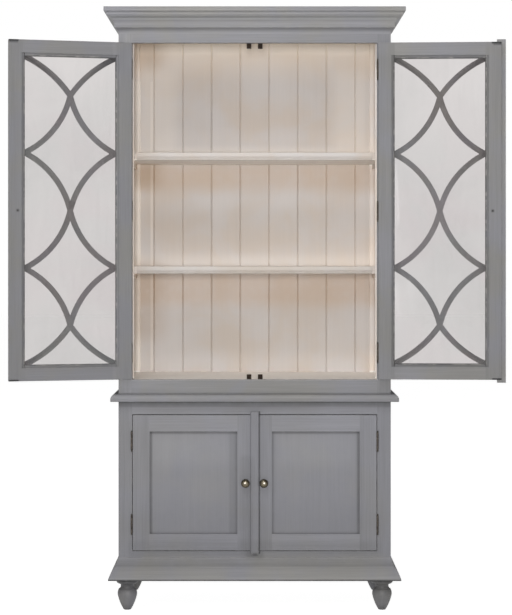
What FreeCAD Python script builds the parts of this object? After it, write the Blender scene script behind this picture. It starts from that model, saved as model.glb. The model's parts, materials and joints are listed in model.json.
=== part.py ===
"""Two-part display cabinet: a glazed upper case on a lower cupboard with four doors.

Millimetres, +Z up. The origin is on the floor, under the middle of the case, and the
front faces -Y. The upper doors stand open and the lower doors are shut.
"""
import FreeCAD, Part
import Sketcher
import math
import os
import re
from types import SimpleNamespace

Vector = FreeCAD.Vector
UP = Vector(0, 0, 1)

SIZES = [
    ("body_width", "992", "case, over both sides"),
    ("body_depth", "430", "case, face to back"),
    ("foot_height", "115", "floor to the underside of the base board"),
    ("base_board_thick", "25", "board that carries the feet"),
    ("lower_bottom_rail", "77", "face frame rail under the lower doors"),
    ("lower_opening", "499", "height of the lower doorway"),
    ("lower_top_rail", "47", "face frame rail over the lower doors"),
    ("waist_thick", "27", "moulded board between the two cases"),
    ("upper_bottom_rail", "52", "face frame rail under the upper doors"),
    ("upper_opening", "1227.5", "height of the upper doorway"),
    ("upper_top_rail", "108.5", "face frame rail over the upper doors"),
    ("cap_thick", "17", "board on top of the cornice"),
    ("frame_thick", "22", "face frame"),
    ("stile_width", "49.5", "face frame stile"),
    ("side_thick", "20", "side boards"),
    ("board_thick", "18", "ceiling and floor boards"),
    ("housing", "6", "depth of the grooves in the sides"),
    ("ceiling_rise", "60", "ceiling board above the doorway"),
    ("tenon_long", "26", "tenon of a face frame rail"),
    ("tenon_thick", "8", "tenon of any rail"),
    ("tenon_shoulder", "9", "rail left above and below a tenon"),
    ("back_thick", "12", "back boards"),
    ("back_rebate", "8", "reach of the back boards into the sides"),
    ("board_pitch", "112", "width of one back board"),
    ("tongue_long", "6", "tongue of a back board"),
    ("tongue_thick", "4", "tongue of a back board"),
    ("tongue_gap", "0.4", "room in front of a tongue"),
    ("board_chamfer", "3.5", "V joint between back boards"),
    ("shelf_thick", "27", "shelf, over its moulded edge"),
    ("shelf_setback", "100", "shelf edge behind the face"),
    ("shelf_bay", "421", "one shelf top above the next"),
    ("first_bay", "412.5", "lowest shelf top above the floor board"),
    ("shelf_band", "15", "flat band of the shelf edge"),
    ("shelf_quirk", "4", "sunk line of the shelf edge"),
    ("shelf_gap", "1", "shelf end to side"),
    ("shelf_notch_wide", "40", "notch round an upright"),
    ("shelf_notch_deep", "9", "notch round an upright"),
    ("upright_wide", "30", "shelf upright"),
    ("upright_thick", "20", "shelf upright"),
    ("upright_proud", "14", "front upright in front of the shelf edge"),
    ("cleat_size", "20", "cleat under a shelf end"),
    ("cap_overhang", "50.5", "cap board past the case"),
    ("cap_round", "2.5", "rounding of the cap board"),
    ("cornice_tall", "76", "cornice moulding"),
    ("cornice_reach", "43.5", "cornice moulding past the case"),
    ("waist_overhang", "28", "waist board past the case"),
    ("waist_round", "18", "large rounding of the waist board"),
    ("waist_fillet", "3", "small rounding under the waist board"),
    ("base_tall", "80", "base moulding"),
    ("base_reach", "35.5", "base moulding past the case"),
    ("foot_inset", "30", "foot centre inside the case, side and front"),
    ("foot_back_inset", "40", "foot centre inside the back"),
    ("foot_radius", "40", "top disc of a foot"),
    ("dowel_radius", "10", "dowel on top of a foot"),
    ("dowel_long", "20", "dowel on top of a foot"),
    ("dowel_gap", "0.2", "play round and over a dowel"),
    ("door_thick", "22", "door frames"),
    ("hinge_gap", "2", "door edge to face frame"),
    ("meeting_gap", "2", "between the two doors of a pair"),
    ("end_gap", "3", "door to rail, above and below"),
    ("upper_door_frame", "58", "stiles and rails of an upper door"),
    ("lower_door_stile", "62", "stile of a lower door"),
    ("lower_door_rail", "60", "rail of a lower door"),
    ("door_tenon_long", "36", "tenon of a door rail"),
    ("glass_rebate", "11", "width of the rebate for the glass"),
    ("glass_lip", "9", "front of an upper door, before the glass"),
    ("glass_thick", "3", "pane"),
    ("glass_play", "1", "pane to frame at its edges"),
    ("bead_thick", "7", "bead that holds the pane"),
    ("lattice_bar", "20", "width of a glazing bar"),
    ("lattice_thick", "8", "thickness of a glazing bar"),
    ("lattice_half", "207", "height from a node to the next crossing"),
    ("lattice_radius", "309", "arc of the middle bars"),
    ("lattice_end_radius", "395", "arc of the bars into the corners"),
    ("panel_thick", "8", "panel of a lower door"),
    ("panel_sink", "9", "panel behind the front of its door"),
    ("panel_groove", "8", "depth of the groove for the panel"),
    ("astragal_wide", "32", "strip over the meeting edges"),
    ("astragal_thick", "9", "strip over the meeting edges"),
    ("astragal_round", "4", "front edges of the strip"),
    ("astragal_extra", "12", "strip past the door, above and below"),
    ("astragal_relief", "0.5", "air behind the free part of the strip"),
    ("pin_offset", "1.2", "hinge pin beside the doorway edge"),
    ("pin_proud", "4", "hinge pin in front of the face"),
    ("pin_radius", "1.5", "hinge pin"),
    ("pin_play", "0.05", "pin to knuckle, radial"),
    ("knuckle_radius", "3.5", "hinge knuckle"),
    ("knuckle_gap", "0.4", "between two knuckles"),
    ("hinge_long", "64", "hinge"),
    ("hinge_inset", "95", "hinge centre from the end of the door"),
    ("leaf_thick", "1.5", "hinge leaf"),
    ("leaf_wide", "18", "hinge leaf"),
    ("door_leaf_sink", "0.7", "hinge leaf let into the door edge"),
    ("knob_inset", "32.5", "knob centre from the meeting edge"),
    ("knob_radius", "16", "knob"),
    ("knob_long", "28", "knob, out of the door"),
    ("knob_screw_radius", "2.4", "screw of a knob"),
    ("knob_hole_gap", "0.1", "play round the screw"),
    ("strike_long", "34", "strike plate on a door"),
    ("strike_tall", "6", "strike plate on a door"),
    ("strike_thick", "1.5", "strike plate on a door"),
    ("strike_inset", "1", "strike plate from the meeting edge"),
    ("catch_offset", "20.5", "catch centre from the middle"),
    ("catch_wide", "17", "catch"),
    ("catch_deep", "16", "catch"),
    ("catch_show", "17", "catch past the edge of the doorway"),
    ("catch_flange", "14", "catch behind the rail"),
    ("catch_plate_gap", "2", "fixing plate above the edge of the doorway"),
    ("catch_air", "0.5", "strike plate to catch"),
    ("left_door_open", "167", "upper left door, degrees"),
    ("right_door_open", "177", "upper right door, degrees"),
    ("overrun", "1", "reach of a cut past the wood"),
]

PLACES = [
    ("body_right", "body_width / 2"),
    ("face", "-body_depth / 2"),
    ("back", "body_depth / 2"),
    ("frame_back", "face + frame_thick"),
    ("back_front", "back - back_thick"),
    ("inner_right", "body_right - side_thick"),
    ("housed_right", "inner_right + housing"),
    ("rebate_right", "inner_right + back_rebate"),
    ("door_edge", "body_right - stile_width"),
    ("base_top", "foot_height + base_board_thick"),
    ("lower_sill", "base_top + lower_bottom_rail"),
    ("lower_head", "lower_sill + lower_opening"),
    ("waist_low", "lower_head + lower_top_rail"),
    ("waist_top", "waist_low + waist_thick"),
    ("upper_sill", "waist_top + upper_bottom_rail"),
    ("upper_head", "upper_sill + upper_opening"),
    ("upper_top", "upper_head + upper_top_rail"),
    ("ceiling", "upper_head + ceiling_rise"),
    ("shelf_front", "face + shelf_setback"),
    ("upright_front", "shelf_front - upright_proud"),
    ("upright_edge", "inner_right - upright_wide"),
    ("foot_x", "body_right - foot_inset"),
    ("foot_front", "face + foot_inset"),
    ("foot_back", "back - foot_back_inset"),
    ("pin_x", "door_edge + pin_offset"),
    ("pin_y", "face - pin_proud"),
    ("door_start", "pin_offset + hinge_gap"),
    ("door_end", "pin_x - meeting_gap / 2"),
    ("door_front", "pin_proud"),
    ("door_back", "pin_proud + door_thick"),
    ("tenon_front", "door_front + (door_thick - tenon_thick) / 2"),
    ("glass_front", "door_front + glass_lip"),
    ("glass_back", "glass_front + glass_thick"),
    ("sight_start", "door_start + upper_door_frame"),
    ("sight_end", "door_end - upper_door_frame"),
    ("upper_door_low", "upper_sill + end_gap"),
    ("upper_door_high", "upper_head - end_gap"),
    ("lower_door_low", "lower_sill + end_gap"),
    ("lower_door_high", "lower_head - end_gap"),
    ("upper_hinge_low", "upper_door_low + hinge_inset"),
    ("upper_hinge_middle", "(upper_door_low + upper_door_high) / 2"),
    ("upper_hinge_high", "upper_door_high - hinge_inset"),
    ("lower_hinge_low", "lower_door_low + hinge_inset"),
    ("lower_hinge_high", "lower_door_high - hinge_inset"),
    ("catch_front", "face + door_thick + strike_thick + catch_air"),
]
HINGE_PLACES = {
    "upper": ["upper_hinge_low", "upper_hinge_middle", "upper_hinge_high"],
    "lower": ["lower_hinge_low", "lower_hinge_high"],
}

# Profiles as steps from the lowest point on the wood. A step of one point is a line to it;
# a step of two points is an arc through the first to the second.
# Each point of a moulding: share of its reach, share of its height.
CORNICE_SHARES = [
    [(0.072, 0.152), (0.26, 0.26)],
    [(0.35, 0.28)],
    [(0.35, 0.35)],
    [(0.40, 0.58), (0.60, 0.74)],
    [(0.82, 0.77)],
    [(0.94, 0.83), (1.0, 0.93)],
    [(1.0, 1.0)],
    [(0.0, 1.0)],
]
BASE_SHARES = [
    [(1.0, 0.0)],
    [(1.0, 0.06)],
    [(0.77, 0.31), (0.47, 0.53)],
    [(0.41, 0.55)],
    [(0.17, 0.76), (0.06, 1.0)],
    [(0.0, 1.0)],
]
# Each point of a turned foot: share of its radius, share of its height.
FOOT_SHARES = [
    [(0.35, 0.0)],
    [(0.68, 0.24), (0.87, 0.45)],
    [(0.89, 0.55), (0.78, 0.66)],
    [(0.60, 0.76), (0.68, 0.83)],
    [(0.90, 0.85), (1.0, 0.90)],
    [(1.0, 1.0)],
]
# Each point of a knob: share of its radius, share of its length out of the door.
KNOB_SHARES = [
    [(0.56, 0.0)],
    [(0.56, 0.07)],
    [(0.36, 0.18), (0.32, 0.38)],
    [(0.70, 0.46), (0.98, 0.64)],
    [(0.80, 0.89), (0.25, 1.0)],
    [(0.0, 1.0)],
]

doc = FreeCAD.newDocument("DisplayCabinet")


def qualified(text):
    """Return an expression with each size and place named in its own sheet."""
    def owner(match):
        word = match.group(0)
        if word in size_names:
            return "Sizes." + word
        if word in place_names:
            return "Places." + word
        return word
    return re.sub(r"[a-z_]+", owner, text)


def make_sheets():
    """Write the driving sizes and the places worked out from them."""
    sizes = doc.addObject("Spreadsheet::Sheet", "Sizes")
    for row, (alias, number, note) in enumerate(SIZES, start=1):
        sizes.set(f"A{row}", note)
        sizes.set(f"B{row}", number)
        sizes.setAlias(f"B{row}", alias)
    doc.recompute()
    places = doc.addObject("Spreadsheet::Sheet", "Places")
    for row, (alias, text) in enumerate(PLACES, start=1):
        places.set(f"B{row}", "=" + qualified(text))
        places.setAlias(f"B{row}", alias)
    doc.recompute()
    values = {name: float(getattr(sizes, name)) for name in size_names}
    values.update({name: float(getattr(places, name)) for name in place_names})
    return SimpleNamespace(**values)


size_names = {alias for alias, number, note in SIZES}
place_names = {alias for alias, text in PLACES}
v = make_sheets()
TOUCH = v.overrun / 1000
nodes = []


def keep(piece, label):
    """Name a finished sub-part."""
    piece.Label = label
    nodes.append(piece)
    return piece


def mirrored(ends, side):
    """Return a pair of x places, mirrored for the right-hand copy of a door."""
    low, high = ends
    if side > 0:
        return low, high
    return f"-({high})", f"-({low})"


def block(name, x, y, z, side=1):
    """A rectangular block between two places along each axis."""
    piece = doc.addObject("Part::Box", name)
    spans = (mirrored(x, side), y, z)
    for size, axis, (low, high) in zip(("Length", "Width", "Height"), "xyz", spans):
        piece.setExpression(size, qualified(f"({high}) - ({low})"))
        piece.setExpression(f"Placement.Base.{axis}", qualified(low))
    return piece


def peg(name, x, y, z, radius):
    """An upright cylinder between two heights."""
    piece = doc.addObject("Part::Cylinder", name)
    low, high = z
    piece.setExpression("Radius", qualified(radius))
    piece.setExpression("Height", qualified(f"({high}) - ({low})"))
    for axis, place in zip("xyz", (x, y, low)):
        piece.setExpression(f"Placement.Base.{axis}", qualified(place))
    return piece


def feature(name, shape):
    """A sub-part or tool whose shape is worked out here."""
    piece = doc.addObject("Part::Feature", name)
    piece.Shape = shape
    return piece


def fused(name, pieces):
    piece = doc.addObject("Part::MultiFuse", name)
    piece.Shapes = pieces
    piece.Refine = True
    return piece


def cut(name, blank, tools):
    piece = doc.addObject("Part::Cut", name)
    piece.Base = blank
    piece.Tool = tools[0] if len(tools) == 1 else fused(name + "_tools", tools)
    return piece


def group(name, pieces):
    """Several separate solids that share one node."""
    piece = doc.addObject("Part::Compound", name)
    piece.Links = pieces
    return piece


def outline(start, steps):
    """Edges from a start point through lines (one point) and arcs (middle and end)."""
    edges = []
    here = start
    for step in steps:
        if len(step) == 1:
            edges.append(Part.makeLine(here, step[0]))
        else:
            edges.append(Part.Arc(here, step[0], step[1]).toShape())
        here = step[-1]
    return edges


def closed_face(start, steps):
    """A face inside the outline, closed by a straight line."""
    return Part.Face(Part.Wire(outline(start, steps + [[start]])))


def scaled_steps(shares, place):
    return [[place(*share) for share in step] for step in shares]


# Case boards

def side_board(label, side, low, high, floors):
    """A side with grooves for the boards and a rebate for the back."""
    blank = block(label + "_blank", ("inner_right", "body_right"), ("frame_back", "back"),
                  (low, high), side)
    tools = [block(label + "_rebate", ("inner_right - overrun", "rebate_right"),
                   ("back_front", "back + overrun"), (f"{low} - overrun", f"{high} + overrun"), side)]
    for number, floor in enumerate(floors):
        tools.append(block(f"{label}_groove_{number}", ("inner_right - overrun", "housed_right"),
                           ("frame_back - overrun", "back_front"),
                           (floor, f"{floor} + board_thick"), side))
    keep(cut(label, blank, tools), label)


def housed_board(label, low):
    piece = block(label, ("-housed_right", "housed_right"), ("frame_back", "back_front"),
                  (low, f"{low} + board_thick"))
    keep(piece, label)


def back_board(left, right, first, last, low, high):
    """One upright back board with its tongue, groove and chamfered front edges."""
    front, rear = v.back_front, v.back
    middle = (front + rear) / 2
    near, far = middle - v.tongue_thick / 2, middle + v.tongue_thick / 2
    chamfer = v.board_chamfer
    points = [(left if first else left + chamfer, front)]
    points += [(right, front)] if last else [(right - chamfer, front), (right, front + chamfer),
                                             (right, near), (right + v.tongue_long - v.tongue_gap, near),
                                             (right + v.tongue_long - v.tongue_gap, far), (right, far)]
    points += [(right, rear), (left, rear)]
    if not first:
        points += [(left, far), (left + v.tongue_long, far), (left + v.tongue_long, near),
                   (left, near), (left, front + chamfer)]
    corners = [Vector(x, y, low) for x, y in points]
    return Part.Face(Part.makePolygon(corners + corners[:1])).extrude(UP * (high - low))


def back_boards(label, low, high):
    """Full boards about the middle, with a part board at each end."""
    whole = int(2 * v.rebate_right / v.board_pitch)
    whole -= 1 - whole % 2
    edges = [(number - whole / 2) * v.board_pitch for number in range(whole + 1)]
    edges = [-v.rebate_right] + edges + [v.rebate_right]
    count = len(edges) - 1
    boards = [back_board(edges[n], edges[n + 1], n == 0, n == count - 1, low, high)
              for n in range(count)]
    keep(feature(label, Part.makeCompound(boards)), label)


# Frames with mortise and tenon

def tenon(name, ends, rail, side=1, y=None):
    """The block that a rail's tenon fills in its stile."""
    low, high = rail
    y = y or ("face + (frame_thick - tenon_thick) / 2", "face + (frame_thick + tenon_thick) / 2")
    return block(name, ends, y, (f"{low} + tenon_shoulder", f"{high} - tenon_shoulder"), side)


def face_frame(prefix, low, high, rails):
    """Two stiles and two rails round a doorway."""
    for side, hand in ((-1, "left"), (1, "right")):
        label = f"{prefix}_stile_{hand}"
        blank = block(label + "_blank", ("door_edge", "body_right"), ("face", "frame_back"),
                      (low, high), side)
        tools = [tenon(f"{label}_mortise_{name}", ("door_edge - overrun", "door_edge + tenon_long"),
                       rail, side) for name, rail in rails.items()]
        tools += [block(f"{label}_leaf_{n}", ("door_edge - overrun", "door_edge + leaf_thick"),
                        ("face - overrun", "face + leaf_wide"),
                        (f"{z} - hinge_long / 2", f"{z} + hinge_long / 2"), side)
                  for n, z in enumerate(HINGE_PLACES[prefix])]
        keep(cut(label, blank, tools), label)
    for name, rail in rails.items():
        label = f"{prefix}_{name}_rail"
        body = block(label + "_body", ("-door_edge", "door_edge"), ("face", "frame_back"), rail)
        ends = [tenon(f"{label}_tenon_{hand}", ("door_edge", "door_edge + tenon_long"), rail, side)
                for side, hand in ((-1, "left"), (1, "right"))]
        keep(fused(label, [body] + ends), label)


def build_cases():
    for hand, side in (("left", -1), ("right", 1)):
        side_board(f"lower_side_{hand}", side, "base_top", "waist_low", ["lower_sill - board_thick"])
        side_board(f"upper_side_{hand}", side, "waist_top", "upper_top",
                   ["upper_sill - board_thick", "ceiling"])
    housed_board("lower_floor_board", "lower_sill - board_thick")
    housed_board("upper_floor_board", "upper_sill - board_thick")
    housed_board("upper_ceiling_board", "ceiling")
    back_boards("lower_back_boards", v.base_top, v.waist_low)
    back_boards("upper_back_boards", v.waist_top, v.upper_top)
    face_frame("lower", "base_top", "waist_low",
               {"bottom": ("base_top", "lower_sill"), "top": ("lower_head", "waist_low")})
    face_frame("upper", "waist_top", "upper_top",
               {"bottom": ("waist_top", "upper_sill"), "top": ("upper_head", "upper_top")})


# Boards with rounded edges

def constrain_rectangle(sketch, overhang):
    """Draw a board's outline, flush at the back and overhanging on three sides."""
    reach = v.body_right + getattr(v, overhang)
    front = v.face - getattr(v, overhang)
    corners = [Vector(-reach, front), Vector(reach, front), Vector(reach, v.back), Vector(-reach, v.back)]
    for number, corner in enumerate(corners):
        sketch.addGeometry(Part.LineSegment(corner, corners[(number + 1) % len(corners)]), False)
    for number in range(4):
        sketch.addConstraint(Sketcher.Constraint("Coincident", number, 2, (number + 1) % 4, 1))
    for number in (0, 2):
        sketch.addConstraint(Sketcher.Constraint("Horizontal", number))
    for number in (1, 3):
        sketch.addConstraint(Sketcher.Constraint("Vertical", number))
    dimensions = [
        ("DistanceX", (0, 1, 0, 2), 2 * reach, f"body_width + 2 * {overhang}"),
        ("DistanceY", (1, 1, 1, 2), v.back - front, f"body_depth + {overhang}"),
        ("DistanceX", (-1, 1, 0, 2), reach, f"body_right + {overhang}"),
        ("DistanceY", (-1, 1, 1, 2), v.back, "back"),
    ]
    for kind, points, number, text in dimensions:
        index = sketch.addConstraint(Sketcher.Constraint(kind, *points, number))
        sketch.setExpression(f"Constraints[{index}]", qualified(text))


def edges_at(shape, height, rear):
    """Names of the level edges at one height, leaving out the one along the back."""
    names = []
    for number, edge in enumerate(shape.Edges, start=1):
        box = edge.BoundBox
        level = abs(box.ZMin - height) + abs(box.ZMax - height) < TOUCH
        if level and box.YMin < rear - TOUCH:
            names.append(f"Edge{number}")
    return names


def moulded_board(label, thick, overhang, low, top_round, under_round):
    """An overhanging board, rounded along its front and ends."""
    body = doc.addObject("PartDesign::Body", label)
    sketch = body.newObject("Sketcher::SketchObject", label + "_outline")
    plane = [item for item in body.Origin.OriginFeatures if item.Role == "XY_Plane"][0]
    sketch.AttachmentSupport = (plane, [""])
    sketch.MapMode = "FlatFace"
    constrain_rectangle(sketch, overhang)
    pad = body.newObject("PartDesign::Pad", label + "_board")
    pad.Profile = sketch
    pad.setExpression("Length", qualified(thick))
    doc.recompute()
    base = pad
    for height, radius in ((getattr(v, thick), top_round), (0.0, under_round)):
        fillet = body.newObject("PartDesign::Fillet", f"{label}_{radius}")
        fillet.Base = (base, edges_at(base.Shape, height, v.back))
        fillet.setExpression("Radius", qualified(radius))
        doc.recompute()
        base = fillet
    body.Tip = base
    body.setExpression("Placement.Base.z", qualified(low))
    keep(body, label)


# Mitred mouldings on the front and the two ends

def prism(points, low, high):
    """An upright prism over a plan outline."""
    corners = [Vector(x, y, low) for x, y in points]
    return Part.Face(Part.makePolygon(corners + corners[:1])).extrude(UP * (high - low))


def moulding_lengths(shares, reach, tall, low):
    """Front length and two returns of one moulding, cut to mitres at the corners."""
    edge, face, back = v.body_right, v.face, v.back
    span = (low - v.overrun, low + tall + v.overrun)

    def front_place(out, rise):
        return Vector(-edge - reach, face - out * reach, low + rise * tall)

    front = closed_face(front_place(0, 0), scaled_steps(shares, front_place))
    front = front.extrude(Vector(2 * (edge + reach), 0, 0))
    mitre = [(-edge - reach, face - reach), (edge + reach, face - reach), (edge, face), (-edge, face)]
    lengths = [front.common(prism(mitre, *span))]
    for side in (-1, 1):
        def end_place(out, rise):
            return Vector(side * (edge + out * reach), face - reach, low + rise * tall)

        end = closed_face(end_place(0, 0), scaled_steps(shares, end_place))
        end = end.extrude(Vector(0, back - face + reach, 0))
        outer = side * (edge + reach)
        mitre = [(side * edge, face), (outer, face - reach), (outer, back), (side * edge, back)]
        lengths.append(end.common(prism(mitre, *span)))
    return lengths


def build_mouldings():
    moulded_board("waist_board", "waist_thick", "waist_overhang", "waist_low", "waist_round",
                  "waist_fillet")
    moulded_board("cap_board", "cap_thick", "cap_overhang", "upper_top", "cap_round", "cap_round")
    for name, shares, reach, tall, low in (
            ("cornice", CORNICE_SHARES, v.cornice_reach, v.cornice_tall, v.upper_top - v.cornice_tall),
            ("base_moulding", BASE_SHARES, v.base_reach, v.base_tall, v.foot_height)):
        front, left, right = moulding_lengths(shares, reach, tall, low)
        keep(feature(f"{name}_front", front), f"{name}_front")
        keep(feature(f"{name}_returns", Part.makeCompound([left, right])), f"{name}_returns")


# Base board and feet

def build_feet():
    blank = block("base_board_blank", ("-body_right", "body_right"), ("face", "back"),
                  ("foot_height", "base_top"))
    holes = [peg(f"base_board_hole_{end}_{hand}", x, f"foot_{end}",
                 ("foot_height - overrun", "foot_height + dowel_long + dowel_gap"),
                 "dowel_radius + dowel_gap")
             for hand, x in (("left", "-foot_x"), ("right", "foot_x")) for end in ("front", "back")]
    keep(cut("base_board", blank, holes), "base_board")

    def place(out, rise):
        return Vector(out * v.foot_radius, 0, rise * v.foot_height)

    steps = scaled_steps(FOOT_SHARES, place)
    steps += [[Vector(v.dowel_radius, 0, v.foot_height)],
              [Vector(v.dowel_radius, 0, v.foot_height + v.dowel_long)],
              [Vector(0, 0, v.foot_height + v.dowel_long)]]
    foot = closed_face(Vector(), steps).revolve(Vector(), UP, 360)
    feet = [foot.translated(Vector(side * v.foot_x, y, 0))
            for y in (v.foot_front, v.foot_back) for side in (-1, 1)]
    keep(feature("feet", Part.makeCompound(feet)), "feet")


# Shelves and what carries them

def shelf_top(number):
    return f"upper_sill + first_bay + {number} * shelf_bay"


def build_shelf(label, top):
    blank = block(label + "_blank", ("-inner_right + shelf_gap", "inner_right - shelf_gap"),
                  ("shelf_front", "back_front"), (f"{top} - shelf_thick", top))
    quirk = block(label + "_quirk", ("-inner_right", "inner_right"),
                  ("shelf_front - overrun", "shelf_front + shelf_quirk"),
                  (f"{top} - shelf_band - shelf_quirk", f"{top} - shelf_band"))
    bead = block(label + "_bead", ("-inner_right", "inner_right"),
                 ("shelf_front - overrun", "shelf_front + shelf_quirk / 2"),
                 (f"{top} - shelf_thick - overrun", f"{top} - shelf_band"))
    notches = []
    for hand, side in (("left", -1), ("right", 1)):
        notches.append(block(f"{label}_front_notch_{hand}",
                             ("inner_right - shelf_notch_wide", "inner_right"),
                             ("shelf_front - overrun", "shelf_front + shelf_notch_deep"),
                             (f"{top} - shelf_thick - overrun", f"{top} + overrun"), side))
        notches.append(block(f"{label}_back_notch_{hand}",
                             ("upright_edge - shelf_gap", "inner_right"),
                             ("back_front - upright_thick - shelf_gap", "back_front + overrun"),
                             (f"{top} - shelf_thick - overrun", f"{top} + overrun"), side))
    keep(cut(label, blank, [quirk, bead] + notches), label)


def build_shelves():
    supports = []
    for hand, side in (("left", -1), ("right", 1)):
        for place, ends in (("front", ("upright_front", "upright_front + upright_thick")),
                            ("back", ("back_front - upright_thick", "back_front"))):
            supports.append(block(f"upright_{place}_{hand}", ("upright_edge", "inner_right"), ends,
                                  ("upper_sill", "ceiling"), side))
        for number in range(2):
            low = f"{shelf_top(number)} - shelf_thick"
            supports.append(block(f"cleat_{number}_{hand}", ("inner_right - cleat_size", "inner_right"),
                                  ("upright_front + upright_thick", "back_front - upright_thick"),
                                  (f"{low} - cleat_size", low), side))
    keep(group("shelf_supports", supports), "shelf_supports")
    build_shelf("shelf_low", shelf_top(0))
    build_shelf("shelf_high", shelf_top(1))


# Hinges

def half_hinge(middle, moving):
    """A leaf with its knuckles, about the pin's axis; +X runs towards the door."""
    edge = v.door_start if moving else v.pin_offset
    sink = v.door_leaf_sink if moving else 0
    near = edge + sink - v.leaf_thick
    low = middle - v.hinge_long / 2
    leaf = Part.makeBox(v.leaf_thick, v.leaf_wide, v.hinge_long, Vector(near, v.door_front, low))
    third = v.hinge_long / 3
    gap = v.knuckle_gap / 2
    spans = [(low + third + gap, third - 2 * gap)]
    if not moving:
        spans = [(low, third - gap), (low + 2 * third + gap, third - gap)]
    parts = []
    for start, tall in spans:
        parts.append(Part.makeCylinder(v.knuckle_radius, tall, Vector(0, 0, start)))
        parts.append(Part.makeBox(v.leaf_thick, v.door_front, tall, Vector(near, 0, start)))
    bore = Part.makeCylinder(v.pin_radius + v.pin_play, v.hinge_long + 2 * v.overrun,
                             Vector(0, 0, low - v.overrun))
    return leaf.multiFuse(parts).cut(bore).removeSplitter()


def hinge_pin(middle):
    return Part.makeCylinder(v.pin_radius, v.hinge_long, Vector(0, 0, middle - v.hinge_long / 2))


def for_side(shape, side):
    """The shape itself for a left door, its mirror image for a right door."""
    return shape if side > 0 else shape.mirror(Vector(), Vector(1, 0, 0))


def build_frame_hinges():
    """Fixed leaves and pins of all ten hinges."""
    shapes = []
    for side in (1, -1):
        for place in HINGE_PLACES["upper"] + HINGE_PLACES["lower"]:
            middle = getattr(v, place)
            for shape in (half_hinge(middle, False), hinge_pin(middle)):
                shapes.append(for_side(shape, side).translated(Vector(-side * v.pin_x, v.pin_y, 0)))
    keep(feature("hinge_frame_leaves", Part.makeCompound(shapes)), "hinge_frame_leaves")


# Catches on the case

def build_catches():
    pieces = []
    across = ("catch_offset - catch_wide / 2", "catch_offset + catch_wide / 2")
    deep = ("catch_front", "catch_front + catch_deep")
    for hand, side in (("left", -1), ("right", 1)):
        pieces.append(block(f"catch_sill_{hand}", across, deep,
                            ("upper_sill", "upper_sill + catch_show"), side))
        for case in ("upper", "lower"):
            head = f"{case}_head"
            body = block(f"catch_{case}_{hand}_body", across, deep,
                         (f"{head} - catch_show", f"{head} + catch_flange"), side)
            plate = block(f"catch_{case}_{hand}_plate", across, ("frame_back", "catch_front"),
                          (f"{head} + catch_plate_gap", f"{head} + catch_flange"), side)
            pieces.append(fused(f"catch_{case}_{hand}", [body, plate]))
    keep(group("door_catches", pieces), "door_catches")


# Doors, drawn shut about their hinge pin; +X runs from the pin to the meeting edge

def hang(piece, side, angle):
    """Put a finished door piece on its pin, opened by an angle."""
    piece.Placement = FreeCAD.Placement(Vector(), FreeCAD.Rotation(UP, side))
    piece.setExpression("Placement.Base.x", qualified(f"{-side} * pin_x"))
    piece.setExpression("Placement.Base.y", qualified("pin_y"))
    piece.setExpression("Placement.Rotation.Angle", qualified(f"{-side} * {angle}") if angle else "0")
    return piece


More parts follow.
